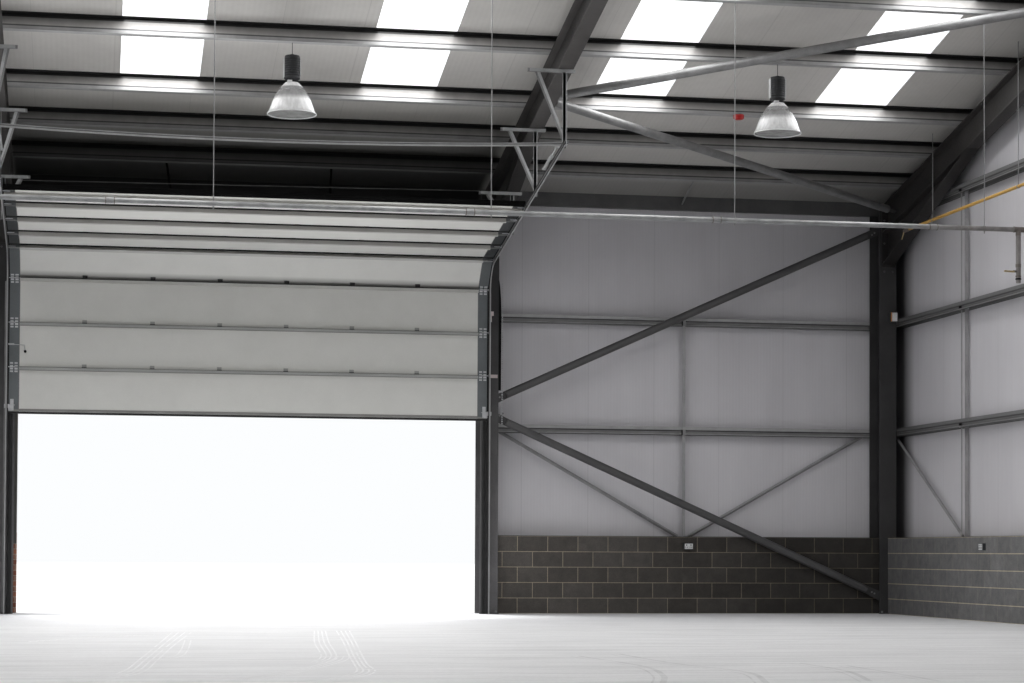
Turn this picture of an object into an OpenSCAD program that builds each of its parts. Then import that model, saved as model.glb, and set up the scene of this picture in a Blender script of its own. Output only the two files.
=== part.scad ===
/* [Overall] */
// Distance between the outer faces of the frame columns, front to back
span = 36000; // [24000:500:38000]
// Width of the middle bay, which holds the door
door_bay = 6836; // [5000:50:8000]
// Width of each of the two end bays
end_bay = 6025; // [4000:50:8000]
// Height from the floor to the roof lining at the outer face of the columns
eaves_h = 6193; // [5400:50:8000]
// Slope of the roof in degrees
pitch = 12; // [6:1:20]

/* [Floor and walls] */
// Thickness of the concrete floor
slab_t = 200; // [150:10:300]
// Height of the masonry at the foot of the walls, five courses of 225
dado_h = 1125; // [900:225:1575]
// Thickness of the inner leaf of blocks
block_t = 100; // [75:5:110]
// Thickness of the outer leaf of bricks
brick_t = 102; // [90:1:110]
// How far the blocks stand back from the inner face of the columns
dado_setback = 240; // [120:10:250]
// Thickness of the insulated wall panels
wall_t = 80; // [40:5:120]
// Thickness of the insulated roof panels
roof_t = 80; // [40:5:120]
// How far the roof runs out past the wall panels at the eaves
eaves_out = 70; // [40:5:120]
// How far the roof runs out past the wall panels at the gables
verge_out = 20; // [10:5:60]

/* [Steel frame] */
// Depth of the column section
col_d = 450; // [300:10:500]
// Width of the column flanges
col_w = 260; // [180:10:300]
// Depth of the rafter section
raf_d = 410; // [300:10:500]
// Width of the rafter flanges
raf_w = 190; // [150:10:250]
// Thickness of the column and rafter flanges
flange_t = 16; // [10:1:25]
// Thickness of the column and rafter webs
web_t = 10; // [8:1:16]
// Length of the haunch along the rafter, measured level
haunch_l = 3350; // [2000:50:4000]
// Height of the underside of the haunch at the column, above the floor
haunch_z = 5200; // [4600:50:5400]
// Thickness of the bolted end plates
plate_t = 25; // [15:1:30]
// Depth of the gable posts
post_d = 254; // [200:2:300]
// Width of the gable posts
post_w = 146; // [120:2:200]
// Number of posts in each gable
post_n = 5; // [3:2:7]

/* [Purlins and rails] */
// Depth of the purlins
purlin_d = 200; // [140:5:240]
// Width of the purlin flanges
purlin_w = 65; // [50:5:80]
// Thickness of the purlins, rails and eaves beams
sheet_t = 3; // [2:1:4]
// Level spacing of the three purlins next to the eaves
purlin_near = 1170; // [900:10:1500]
// Level spacing of the other purlins
purlin_far = 1655; // [1400:5:1800]
// Depth of the wall rails, from the columns to the wall panels
rail_d = 140; // [120:5:200]
// Height of the wall rails
rail_h = 120; // [60:5:120]
// Height of the lowest rail above the floor
rail_z = 2640; // [2000:5:3000]
// Spacing of the rails above it
rail_step = 1625; // [1200:5:1900]
// Depth of the beam along the eaves
eaves_beam_h = 205; // [150:5:250]

/* [Rooflights] */
// Width of one rooflight
light_w = 1005; // [900:5:1100]
// Distance from one rooflight to the next
light_step = 3071; // [2500:10:3500]
// Number of rooflights in each slope
light_n = 6; // [2:1:6]
// Sideways shift of the row of rooflights
light_shift = -115; // [-400:10:400]

/* [Door] */
// Width of the door opening in the wall
open_w = 6650; // [4000:10:6670]
// Sideways shift of the opening against the middle of the door leaf
open_shift = -75; // [-80:5:80]
// Height of the door opening above the floor
open_h = 4900; // [4000:50:4950]
// Width of the door leaf
leaf_w = 6734; // [4074:20:6774]
// Height of one section of the door
sect_h = 620; // [400:5:700]
// Thickness of the door sections
sect_t = 40; // [30:2:60]
// Number of sections
sect_n = 8; // [6:1:10]
// Height of the lower edge of the raised door above the floor
leaf_z = 2800; // [0:50:3100]
// Radius of the bend of the tracks
bend_r = 450; // [300:10:600]
// Height of the start of the bend above the floor
bend_z = 4620; // [4200:10:4900]
// Distance from the columns to the outer face of the door leaf
leaf_gap = 60; // [30:5:100]
// Slope of the upper run of the tracks in degrees
track_pitch = 9.5; // [0:0.5:12]
// Length of the sloping run of the tracks
track_l = 5000; // [4800:100:7000]

/* [Bracing] */
// Diameter of the round wall braces
brace_d = 114; // [90:10:170]
// Diameter of the round roof braces
roof_brace_d = 114; // [80:2:140]
// Height at which the wall braces meet on the door side columns
brace_mid_z = 2975; // [2500:25:3500]
// Height of the upper end of the wall braces
brace_top_z = 5777; // [5000:1:5777]
// Height of the lower end of the wall braces
brace_low_z = 236; // [200:1:600]

/* [Services] */
// Height of the suspended pipe above the floor
pipe_z = 4833; // [4000:1:5400]
// Diameter of the suspended pipe
main_d = 60; // [50:5:150]
// Height of the rim of the lamps above the floor
lamp_z = 6200; // [5500:10:6200]
// Diameter of the rim of the lamps
lamp_d = 610; // [400:10:700]

/* [Hidden] */
wall_half = span / 2;
t = tan(pitch);
c = cos(pitch);
grid = [-door_bay / 2 - end_bay, -door_bay / 2, door_bay / 2, door_bay / 2 + end_bay];
gx = grid[3];
fl = slab_t;
col_in = wall_half - col_d;
dado_in = col_in + dado_setback;
panel_in = wall_half + rail_d;
panel_out = panel_in + wall_t;
brick_out = panel_in + brick_t;
gab_rail = gx + col_w / 2;
gab_in = gab_rail + rail_d;
gab_out = gab_in + wall_t;
gab_brick = gab_in + brick_t;
dado_top = fl + dado_h;
open_l = open_shift - open_w / 2;
open_r = open_shift + open_w / 2;
eps = 1;
roof_z = fl + eaves_h;

// Underside of the roof panels at distance y from the ridge
function roof_at(y) = roof_z + t * (wall_half - abs(y));
// Top of the rafters at distance y from the ridge
function raf_at(y) = roof_at(y) - purlin_d / c;
// Underside of the rafters at distance y from the ridge
function under_at(y) = raf_at(y) - raf_d / c;
// Where a rod hangs from the lower flange of the purlin whose top is at distance y
function hang_y(y) = y - purlin_d * sin(pitch) + purlin_w / 2 * c;
function hang_z(y, d) = roof_at(y) - purlin_d * c - purlin_w / 2 * sin(pitch) - d / 2 * t;

// Extrudes a profile drawn in depth and height along the length of the building
module run_x(x0, x1) {
    translate([x0, 0, 0])
        rotate([90, 0, 90])
            linear_extrude(height = x1 - x0)
                children();
}

// Extrudes a profile drawn in length and height from front to back
module run_y(y0, y1) {
    translate([0, y1, 0])
        rotate([90, 0, 0])
            linear_extrude(height = y1 - y0)
                children();
}

// A box between two corners
module box(a, b) {
    translate(a)
        cube(b - a);
}

// Repeats a front piece at the back
module both_sides() {
    children();
    mirror([0, 1, 0])
        children();
}

// Repeats a right piece at the left
module both_ends() {
    children();
    mirror([1, 0, 0])
        children();
}

// A strip that follows the roof between two distances from the ridge, front slope
module slope_strip(y0, y1, drop, thick) {
    polygon([
        [-y0, roof_at(y0) - drop / c],
        [-y1, roof_at(y1) - drop / c],
        [-y1, roof_at(y1) - drop / c - thick / c],
        [-y0, roof_at(y0) - drop / c - thick / c]
    ]);
}

// Floor

module floor_slab() {
    color([0.72, 0.71, 0.68])
        box([-gab_brick, -brick_out, 0], [gab_brick, brick_out, fl]);
}

// Masonry at the foot of the walls

module long_wall_blocks() {
    color([0.30, 0.29, 0.28]) {
        both_ends()
            box([grid[2] + web_t / 2, -dado_in - block_t, fl], [gx - web_t / 2, -dado_in, dado_top]);
        for (i = [0:2])
            box([grid[i] + web_t / 2, dado_in, fl], [grid[i + 1] - web_t / 2, dado_in + block_t, dado_top]);
    }
}

module gable_dado_blocks() {
    step = span / (post_n + 1);
    color([0.42, 0.41, 0.40])
        both_ends()
            for (i = [0:post_n]) {
                y0 = i == 0 ? -col_in : -wall_half + i * step + post_web / 2;
                y1 = i == post_n ? col_in : -wall_half + (i + 1) * step - post_web / 2;
                box([gx, y0, fl], [gx + block_t, y1, dado_top]);
            }
}

// The bricks turn in beside the door, up to two courses below the top
turn_top = dado_top - 150;

module long_wall_bricks() {
    color([0.48, 0.27, 0.20]) {
        box([open_r, -brick_out, fl], [gab_brick, -panel_in, dado_top]);
        box([open_r, -panel_in - eps, fl], [open_r + brick_t, -wall_half, turn_top]);
        box([-gab_brick, -brick_out, fl], [open_l, -panel_in, dado_top]);
        box([open_l - brick_t, -panel_in - eps, fl], [open_l, -wall_half, turn_top]);
        box([-gab_brick, panel_in, fl], [gab_brick, brick_out, dado_top]);
    }
}

module gable_dado_bricks() {
    color([0.48, 0.27, 0.20])
        both_ends()
            box([gab_in, -panel_in, fl], [gab_brick, panel_in, dado_top]);
}

// Wall panels

module eaves_wall() {
    run_x(-gab_out, gab_out)
        polygon([
            [-panel_in, dado_top + cill_t],
            [-panel_out, dado_top + cill_t],
            [-panel_out, roof_at(panel_out)],
            [-panel_in, roof_at(panel_in)]
        ]);
}

module front_cladding() {
    color([0.80, 0.81, 0.82])
        difference() {
            eaves_wall();
            box([open_l, -panel_out - 10, fl], [open_r, -panel_in + 10, fl + open_h]);
        }
}

module back_cladding() {
    color([0.80, 0.81, 0.82])
        mirror([0, 1, 0])
            eaves_wall();
}

module gable_cladding() {
    color([0.80, 0.81, 0.82])
        both_ends()
            run_x(gab_in, gab_out)
                polygon([
                    [-panel_in, dado_top + cill_t],
                    [panel_in, dado_top + cill_t],
                    [panel_in, roof_at(panel_in)],
                    [0, roof_at(0)],
                    [-panel_in, roof_at(panel_in)]
                ]);
}

// Sloping flashing on top of the bricks
cill_t = 12;
cill_out = 25;

module cill_profile() {
    polygon([
        [0, 0],
        [-brick_t, 0],
        [-brick_t, -30],
        [-brick_t - cill_out, -30],
        [-brick_t - cill_out, cill_t / 3],
        [-wall_t, cill_t],
        [0, cill_t]
    ]);
}

module dado_cills() {
    color([0.30, 0.32, 0.34]) {
        run_x(open_r, gab_in)
            translate([-panel_in, dado_top])
                cill_profile();
        run_x(-gab_in, open_l)
            translate([-panel_in, dado_top])
                cill_profile();
        mirror([0, 1, 0])
            run_x(-gab_in, gab_in)
                translate([-panel_in, dado_top])
                    cill_profile();
        both_ends()
            run_y(-panel_in, panel_in)
                translate([gab_in, dado_top])
                    mirror([1, 0])
                        cill_profile();
    }
}

// Roof

light_lo = 3 * purlin_near;
light_hi = light_lo + 5 * purlin_far;

function light_x(i) = light_shift + (i - (light_n - 1) / 2) * light_step;

module roof_slope() {
    difference() {
        run_x(-gab_out - verge_out, gab_out + verge_out)
            polygon([
                [0, roof_at(0)],
                [-panel_out - eaves_out, roof_at(panel_out + eaves_out)],
                [-panel_out - eaves_out, roof_at(panel_out + eaves_out) + roof_t / c],
                [0, roof_at(0) + roof_t / c]
            ]);
        for (i = [0:light_n - 1])
            run_x(light_x(i) - light_w / 2, light_x(i) + light_w / 2)
                light_profile(eps);
    }
}

module light_profile(extra) {
    y0 = wall_half - light_lo;
    y1 = wall_half - light_hi;
    polygon([
        [-y0, roof_at(y0) - extra],
        [-y0, roof_at(y0) + roof_t / c + extra],
        [-y1, roof_at(y1) + roof_t / c + extra],
        [-y1, roof_at(y1) - extra]
    ]);
}

module rooflight_row() {
    for (i = [0:light_n - 1])
        run_x(light_x(i) - light_w / 2, light_x(i) + light_w / 2)
            light_profile(0);
}

module front_roof() {
    color([0.62, 0.64, 0.66])
        roof_slope();
}

module back_roof() {
    color([0.62, 0.64, 0.66])
        mirror([0, 1, 0])
            roof_slope();
}

module rooflights() {
    color([0.93, 0.95, 0.95])
        both_sides()
            rooflight_row();
}

// Flashings, gutters and downpipes
cap_t = 3;
cap_w = 300;

module ridge_capping() {
    lift = roof_at(0) + roof_t / c;
    color([0.30, 0.32, 0.34])
        run_x(-gab_out - verge_out, gab_out + verge_out)
            polygon([
                [0, lift],
                [-cap_w, lift - t * cap_w],
                [-cap_w, lift - t * cap_w + cap_t],
                [0, lift + cap_t],
                [cap_w, lift - t * cap_w + cap_t],
                [cap_w, lift - t * cap_w]
            ]);
}

verge_w = 160;
verge_h = 190;

module verge_flashings() {
    x1 = gab_out + verge_out;
    y1 = panel_out + eaves_out;
    color([0.30, 0.32, 0.34])
        both_ends()
            both_sides()
                difference() {
                    run_x(x1 - verge_w, x1 + cap_t)
                        polygon([
                            [-cap_w, roof_at(cap_w) + roof_t / c + cap_t],
                            [-y1, roof_at(y1) + roof_t / c + cap_t],
                            [-y1, roof_at(y1) + roof_t / c - verge_h],
                            [-cap_w, roof_at(cap_w) + roof_t / c - verge_h]
                        ]);
                    run_x(x1 - verge_w - 1, x1)
                        polygon([
                            [-cap_w + 1, roof_at(cap_w - 1) + roof_t / c],
                            [-y1 - 1, roof_at(y1 + 1) + roof_t / c],
                            [-y1 - 1, roof_at(y1 + 1) + roof_t / c - verge_h - 1],
                            [-cap_w + 1, roof_at(cap_w - 1) + roof_t / c - verge_h - 1]
                        ]);
                }
}

corner_w = 150;

module corner_flashings() {
    z1 = roof_at(panel_out + gut_w) - gut_h - 5;
    color([0.30, 0.32, 0.34])
        both_ends()
            both_sides() {
                difference() {
                    box([gab_out - corner_w, -panel_out - cap_t, dado_top + cill_t],
                        [gab_out + cap_t, -panel_out + corner_w, z1]);
                    box([gab_out - corner_w - 1, -panel_out, dado_top],
                        [gab_out, -panel_out + corner_w + 1, z1 + 1]);
                }
            }
}

gut_w = 170;
gut_h = 120;
gut_t = 4;

module gutters() {
    y0 = panel_out;
    z1 = roof_at(panel_out + gut_w);
    color([0.22, 0.23, 0.25])
        both_sides()
            difference() {
                box([-gab_out - verge_out, -y0 - gut_w, z1 - gut_h], [gab_out + verge_out, -y0, z1]);
                box([-gab_out - verge_out + gut_t, -y0 - gut_w + gut_t, z1 - gut_h + gut_t],
                    [gab_out + verge_out - gut_t, -y0 - gut_t, z1 + 1]);
            }
}

pipe_d = 100;

module downpipes() {
    z1 = roof_at(panel_out + gut_w) - gut_h;
    color([0.22, 0.23, 0.25])
        both_sides()
            both_ends()
                translate([gab_out - 400, -panel_out - gut_w + pipe_d / 2 + 2, fl])
                    difference() {
                        cylinder(d = pipe_d, h = z1 - fl, $fn = 13);
                        translate([0, 0, -1])
                            cylinder(d = pipe_d - 8, h = z1 - fl + 2, $fn = 13);
                    }
}

// Portal frames

module i_column() {
    y0 = -wall_half;
    y1 = -col_in;
    run_x(-web_t / 2, web_t / 2)
        polygon([
            [y0 + eps, fl],
            [y1 - eps, fl],
            [y1 - eps, raf_at(-y1 + eps)],
            [y0 + eps, raf_at(-y0 - eps)]
        ]);
    run_x(-col_w / 2, col_w / 2) {
        polygon([
            [y0, fl],
            [y0 + flange_t, fl],
            [y0 + flange_t, raf_at(-y0 - flange_t)],
            [y0, raf_at(-y0)]
        ]);
        polygon([
            [y1 - flange_t, fl],
            [y1, fl],
            [y1, raf_at(-y1)],
            [y1 - flange_t, raf_at(-y1 + flange_t)]
        ]);
    }
}

module frame_columns() {
    color([0.24, 0.24, 0.25])
        for (x = grid)
            translate([x, 0, 0])
                both_sides()
                    i_column();
}

module i_rafter() {
    y0 = -col_in + plate_t;
    y1 = -plate_t;
    run_x(-web_t / 2, web_t / 2)
        polygon([
            [y0, raf_at(y0) - eps],
            [y1, raf_at(y1) - eps],
            [y1, under_at(y1) + eps],
            [y0, under_at(y0) + eps]
        ]);
    run_x(-raf_w / 2, raf_w / 2) {
        slope_strip(-y0, -y1, purlin_d, flange_t);
        slope_strip(-y0, -y1, purlin_d + raf_d - flange_t, flange_t);
    }
}

module frame_rafters() {
    color([0.24, 0.24, 0.25])
        for (x = grid)
            translate([x, 0, 0])
                both_sides()
                    i_rafter();
}

module haunch() {
    y0 = col_in - plate_t;
    y1 = col_in - haunch_l;
    z0 = fl + haunch_z;
    z1 = under_at(y1);
    run_x(-web_t / 2, web_t / 2)
        polygon([
            [-y0, z0 + eps],
            [-y0, under_at(y0)],
            [-y1, under_at(y1)]
        ]);
    run_x(-raf_w / 2, raf_w / 2)
        polygon([
            [-y0, z0],
            [-y0, z0 + flange_t],
            [-y1 - flange_t * 3, under_at(y1 + flange_t * 3)],
            [-y1, z1]
        ]);
}

module haunches() {
    color([0.24, 0.24, 0.25])
        for (x = grid)
            translate([x, 0, 0])
                both_sides()
                    haunch();
}

module end_plates() {
    color([0.24, 0.24, 0.25])
        for (x = grid)
            translate([x, 0, 0]) {
                both_sides()
                    run_x(-raf_w / 2 - 5, raf_w / 2 + 5)
                        polygon([
                            [-col_in, fl + haunch_z - 40],
                            [-col_in + plate_t, fl + haunch_z - 40],
                            [-col_in + plate_t, raf_at(col_in - plate_t)],
                            [-col_in, raf_at(col_in)]
                        ]);
                both_sides()
                    run_x(-raf_w / 2 - 5, raf_w / 2 + 5)
                        polygon([
                            [-plate_t, under_at(plate_t) - apex_drop],
                            [-1, under_at(1) - apex_drop],
                            [-1, raf_at(1)],
                            [-plate_t, raf_at(plate_t)]
                        ]);
            }
}

// Gable posts
apex_drop = 60;
post_web = 8;
post_fl = 12;

function post_y(i) = -wall_half + (i + 1) * span / (post_n + 1);

module gable_posts() {
    color([0.24, 0.24, 0.25])
        both_ends()
            for (i = [0:post_n - 1])
                translate([gab_rail - post_d, post_y(i), fl]) {
                    h = under_at(abs(post_y(i)) + post_w / 2) - fl - (abs(post_y(i)) < 1 ? apex_drop : 0);
                    translate([0, -post_w / 2, 0])
                        cube([post_fl, post_w, h]);
                    translate([post_d - post_fl, -post_w / 2, 0])
                        cube([post_fl, post_w, h]);
                    translate([eps, -post_web / 2, 0])
                        cube([post_d - 2 * eps, post_web, h]);
                }
}

// Purlins, eaves beams and rails

function purlin_y(i) = i < 3 ? wall_half - (i + 1) * purlin_near
    : wall_half - 3 * purlin_near - (i - 2) * purlin_far;
purlin_n = 3 + floor((wall_half - 3 * purlin_near - 300) / purlin_far);

// Z section, web square to the slope
module z_purlin() {
    polygon([
        [purlin_w, 0],
        [-sheet_t, 0],
        [-sheet_t, -purlin_d + sheet_t],
        [-purlin_w, -purlin_d + sheet_t],
        [-purlin_w, -purlin_d],
        [0, -purlin_d],
        [0, -sheet_t],
        [purlin_w, -sheet_t]
    ]);
}

module purlin_set() {
    for (i = [0:purlin_n])
        run_x(-gab_in, gab_in) {
            y = i == purlin_n ? 230 : purlin_y(i);
            translate([-y, roof_at(y)])
                rotate(pitch)
                    z_purlin();
        }
}

module purlins() {
    color([0.55, 0.56, 0.57])
        both_sides()
            purlin_set();
}

module eaves_beams() {
    w = 65;
    y0 = wall_half;
    color([0.55, 0.56, 0.57])
        both_sides()
            run_x(-gab_in, gab_in)
                polygon([
                    [-y0, roof_at(y0)],
                    [-y0 - w, roof_at(y0 + w)],
                    [-y0 - w, roof_at(y0 + w) - sheet_t],
                    [-y0 - sheet_t, roof_at(y0 + sheet_t) - sheet_t],
                    [-y0 - sheet_t, roof_at(y0) - eaves_beam_h + sheet_t],
                    [-y0 - w, roof_at(y0) - eaves_beam_h + sheet_t],
                    [-y0 - w, roof_at(y0) - eaves_beam_h],
                    [-y0, roof_at(y0) - eaves_beam_h]
                ]);
}

// Rail section, open below, with a groove pressed into its inner face
groove = 14;

module rail_profile() {
    polygon([
        [0, 0],
        [0, rail_h * 0.12],
        [-groove, rail_h * 0.24],
        [-groove, rail_h * 0.48],
        [0, rail_h * 0.6],
        [0, rail_h],
        [-rail_d, rail_h],
        [-rail_d, 0],
        [-rail_d + sheet_t, 0],
        [-rail_d + sheet_t, rail_h - sheet_t],
        [-sheet_t, rail_h - sheet_t],
        [-sheet_t, rail_h * 0.62],
        [-groove - sheet_t, rail_h * 0.5],
        [-groove - sheet_t, rail_h * 0.22],
        [-sheet_t, rail_h * 0.1],
        [-sheet_t, 0]
    ]);
}

rail_n = 2;

module wall_rail(x0, x1, z) {
    run_x(x0, x1)
        translate([-wall_half, fl + z])
            rail_profile();
}

module long_wall_rails() {
    color([0.60, 0.61, 0.62])
        for (i = [0:rail_n - 1]) {
            wall_rail(open_r + jamb_w, gab_in, rail_z + i * rail_step);
            wall_rail(-gab_in, open_l - jamb_w, rail_z + i * rail_step);
            mirror([0, 1, 0])
                wall_rail(-gab_in, gab_in, rail_z + i * rail_step);
        }
}

rail_reach = 1500;
gable_rail_n = floor((roof_at(rail_reach) - fl - rail_h - rail_z) / rail_step) + 1;

module gable_rails() {
    color([0.60, 0.61, 0.62])
        both_ends()
            for (i = [0:gable_rail_n - 1]) {
                z = fl + rail_z + i * rail_step;
                reach = min(wall_half, wall_half - (z + rail_h + 5 + purlin_d / c - roof_z) / t);
                run_y(-reach, reach)
                    translate([gab_rail, z])
                        mirror([1, 0])
                            rail_profile();
            }
}

// Door frame
jamb_w = 90;
jamb_t = 8;

module jamb() {
    difference() {
        box([0, -panel_in, turn_top], [jamb_w, -wall_half, fl + open_h]);
        box([jamb_t, -panel_in + jamb_t, turn_top - 1],
            [jamb_w + 1, -wall_half - jamb_t, fl + open_h + 1]);
    }
}

module door_frame() {
    color([0.28, 0.28, 0.26]) {
        translate([open_r, 0, 0])
            jamb();
        translate([open_l, 0, 0])
            mirror([1, 0, 0])
                jamb();
        difference() {
            box([open_l - jamb_w, -panel_in, fl + open_h],
                [open_r + jamb_w, -wall_half, fl + open_h + jamb_w * 2]);
            box([open_l - jamb_w - 1, -panel_in + jamb_t, fl + open_h + jamb_t],
                [open_r + jamb_w + 1, -wall_half - jamb_t, fl + open_h + jamb_w * 2 + 1]);
        }
    }
}

// Sectional door: the hinges run along the inner face of the leaf, and the
// path is given as distance from the ridge and height
path_y = -col_in + leaf_gap + sect_t;
bend_a = 90 - track_pitch;
arc_l = bend_r * bend_a * PI / 180;

// Angle that the path has turned through at length s along it
function turn_at(s) = min(max((s - bend_z) / bend_r * 180 / PI, 0), bend_a);
function path_at(s) = let (a = turn_at(s), d = max(s - bend_z - arc_l, 0))
    [path_y + bend_r * (1 - cos(a)) + d * cos(track_pitch),
        fl + min(s, bend_z) + bend_r * sin(a) + d * sin(track_pitch)];
// Direction out of the building, square to the path
function path_out(s) = [-cos(turn_at(s)), sin(turn_at(s))];

bend_n = 10;

// Band along the path between two offsets from it
module path_band(s0, s1, off0, off1) {
    st = concat([s0], [for (k = [0:bend_n]) bend_z + arc_l * k / bend_n], [s1]);
    polygon(concat(
        [for (k = [0:len(st) - 1]) path_at(st[k]) + off0 * path_out(st[k])],
        [for (k = [len(st) - 1:-1:0]) path_at(st[k]) + off1 * path_out(st[k])]
    ));
}

sect_gap = 4;

// Moves to a hinge line, with the next section along X and the outside along Y
module at_section(i) {
    p = path_at(leaf_z + i * sect_h);
    q = path_at(leaf_z + (i + 1) * sect_h);
    translate(p)
        rotate(atan2(q[1] - p[1], q[0] - p[0]))
            children();
}

function sect_len(i) = norm(path_at(leaf_z + (i + 1) * sect_h) - path_at(leaf_z + i * sect_h));

module door_sections() {
    color([0.78, 0.78, 0.76])
        for (i = [0:sect_n - 1])
            run_x(-leaf_w / 2 + stile_w, leaf_w / 2 - stile_w)
                at_section(i)
                    translate([sect_gap / 2, 0])
                        square([sect_len(i) - sect_gap, sect_t]);
}

// Steel end pieces of the sections
stile_w = 145;

module door_stiles() {
    color([0.36, 0.39, 0.42])
        both_ends()
            for (i = [0:sect_n - 1])
                run_x(leaf_w / 2 - stile_w, leaf_w / 2)
                    at_section(i)
                        translate([sect_gap / 2, 0])
                            square([sect_len(i) - sect_gap, sect_t]);
}

// Hinges over the joints of the sections, on the inner face, and the corner plates
// at the foot of the leaf
hinge_w = 70;
hinge_h = 55;
hinge_t = 4;
hinge_n = 6;

function hinge_x(k) = (k - (hinge_n + 1) / 2) * leaf_w / (hinge_n + 1);

module door_hinges() {
    color([0.68, 0.69, 0.70]) {
        for (i = [1:sect_n - 1], k = [0:hinge_n + 1]) {
            x = k == 0 ? -leaf_w / 2 + hinge_w / 2 + 5
                : k == hinge_n + 1 ? leaf_w / 2 - hinge_w / 2 - 5 : hinge_x(k);
            run_x(x - hinge_w / 2, x + hinge_w / 2) {
                at_section(i)
                    translate([0, -hinge_t])
                        square([hinge_h, hinge_t]);
                at_section(i - 1)
                    translate([sect_len(i - 1) - hinge_h, -hinge_t])
                        square([hinge_h, hinge_t]);
                if (k == 0 || k == hinge_n + 1)
                    translate(path_at(leaf_z + i * sect_h) - hinge_t * path_out(leaf_z + i * sect_h))
                        circle(r = hinge_t - 0.3, $fn = 6);
            }
        }
        both_ends()
            box([leaf_w / 2 - 75, path_y, fl + leaf_z + 15],
                [leaf_w / 2 - 5, path_y + 6, fl + leaf_z + 175]);
    }
}

// Size of the tracks at both ends of the door
track_w = 30;
track_d = 55;
track_t = 3;

// Rollers on spindles, from the ends of the joints into the tracks
roll_off = 22;
roll_play = 0.2;
spindle_d = 11;

module door_rollers() {
    color([0.30, 0.30, 0.31])
        both_ends()
            for (i = [0:sect_n]) {
                p = path_at(leaf_z + i * sect_h + (i == 0 ? 90 : i == sect_n ? -90 : 0));
                o = path_out(leaf_z + i * sect_h);
                translate([0, p[0] - o[0] * roll_off, p[1] - o[1] * roll_off])
                    rotate([0, 90, 0]) {
                        translate([0, 0, leaf_w / 2 - 90])
                            cylinder(d = spindle_d, h = 105, $fn = 4);
                        translate([0, 0, leaf_w / 2 + 10])
                            cylinder(d = track_d - 2 * track_t - 2 * roll_play, h = 14, $fn = 13);
                    }
            }
}

track_end = bend_z + arc_l + track_l;

module door_tracks() {
    x0 = leaf_w / 2 + 5;
    hi = track_d / 2 - roll_off;
    lo = -track_d / 2 - roll_off;
    color([0.66, 0.67, 0.68])
        both_ends()
            difference() {
                run_x(x0, x0 + track_w)
                    path_band(0, track_end, lo, hi);
                run_x(x0 - 1, x0 + track_w - track_t)
                    path_band(-5, track_end + 5, lo + track_t, hi - track_t);
            }
}

// Rubber seals between the leaf and the columns, and under the lowest section
module door_seals() {
    color([0.06, 0.06, 0.06]) {
        both_ends()
            box([leaf_w / 2 - 65, -col_in, fl], [leaf_w / 2 - 20, -col_in + leaf_gap, fl + bend_z]);
        box([-leaf_w / 2, path_y - sect_t + 4, fl + leaf_z - 28],
            [leaf_w / 2, path_y - 4, fl + leaf_z + sect_gap / 2]);
    }
}

// Rectangle past the end of the path, of a length along it and a depth across it
module path_band_end(s, l, d) {
    translate(path_at(s))
        rotate(track_pitch)
            translate([0, -d / 2 - roll_off])
                square([l, d]);
}

// Shaft with its springs and cable drums above the door
shaft_z = 5750;
shaft_y = 300;
shaft_d = 32;
drum_d = 140;
spring_d = 95;
spring_l = 1400;

module door_shaft() {
    l = door_bay - raf_w - 1;
    color([0.62, 0.62, 0.60])
        translate([0, -col_in + shaft_y, fl + shaft_z])
            rotate([0, 90, 0]) {
                cylinder(d = shaft_d, h = l, center = true, $fn = 13);
                for (s = [-1, 1]) {
                    translate([0, 0, s * l / 4])
                        cylinder(d = spring_d, h = spring_l, center = true, $fn = 13);
                    translate([0, 0, s * (l / 2 - 100)])
                        cylinder(d = drum_d, h = 80, center = true, $fn = 13);
                }
            }
}

// A round bar between two points
module rod(p, q, d, n) {
    v = q - p;
    translate(p)
        rotate([0, acos(v[2] / norm(v)), atan2(v[1], v[0])])
            cylinder(d = d, h = norm(v), $fn = n);
}

// Point at distance l from p towards q
function along(p, q, l) = p + (q - p) * l / norm(q - p);

// Round braces in the end bays, in front of the blocks
brace_y = -dado_in + brace_d / 2 + 10;
gusset_t = 12;
gusset_l = 300;
gusset_w = 110;
brace_part = 78;
brace_near = [for (s = [1, -1]) [grid[2], brace_y, fl + brace_mid_z + s * brace_part]];
brace_far = [for (z = [brace_top_z, brace_low_z]) [gx, brace_y, fl + z]];

module wall_bracing() {
    color([0.27, 0.27, 0.28])
        both_sides()
            both_ends()
                for (i = [0, 1])
                    rod(along(brace_near[i], brace_far[i], gusset_l),
                        along(brace_far[i], brace_near[i], gusset_l), brace_d, 18);
}

// Plate from a column web to the end of a brace
module gusset(p, q) {
    e = along(p, q, gusset_l);
    d = (q - p) / norm(q - p);
    s = sign(d[0]);
    n = [-d[2], d[0]] * s * gusset_w / 2;
    translate([0, p[1] + gusset_t / 2, 0])
        rotate([90, 0, 0])
            linear_extrude(height = gusset_t)
                polygon([
                    [p[0] + s * web_t / 2, p[2] + gusset_w * 0.7],
                    [p[0] + s * web_t / 2, p[2] - gusset_w * 0.7],
                    [e[0] - n[0], e[2] - n[1]],
                    [e[0] + n[0], e[2] + n[1]]
                ]);
}

module brace_plates() {
    color([0.24, 0.24, 0.25])
        both_sides()
            both_ends() {
                for (i = [0, 1]) {
                    gusset(brace_near[i], brace_far[i]);
                    gusset(brace_far[i], brace_near[i]);
                }
                for (k = [0:zig_n - 1]) {
                    cleat(zig(k), zig(k + 1));
                    cleat(zig(k + 1), zig(k));
                }
            }
}

// Braces in the plane of the rafters, zigzag between the two frames of an end bay
zig_n = 5;
zig_first = 800;
zig_step = 3530;
cleat_l = 200;

function zig(k) = let (
    l = min(zig_first + k * zig_step, wall_half - 300),
    x = k % 2 == 0 ? gx : grid[2]
) [x, l - wall_half, roof_at(wall_half - l) - (purlin_d + raf_d / 2) / c];

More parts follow.
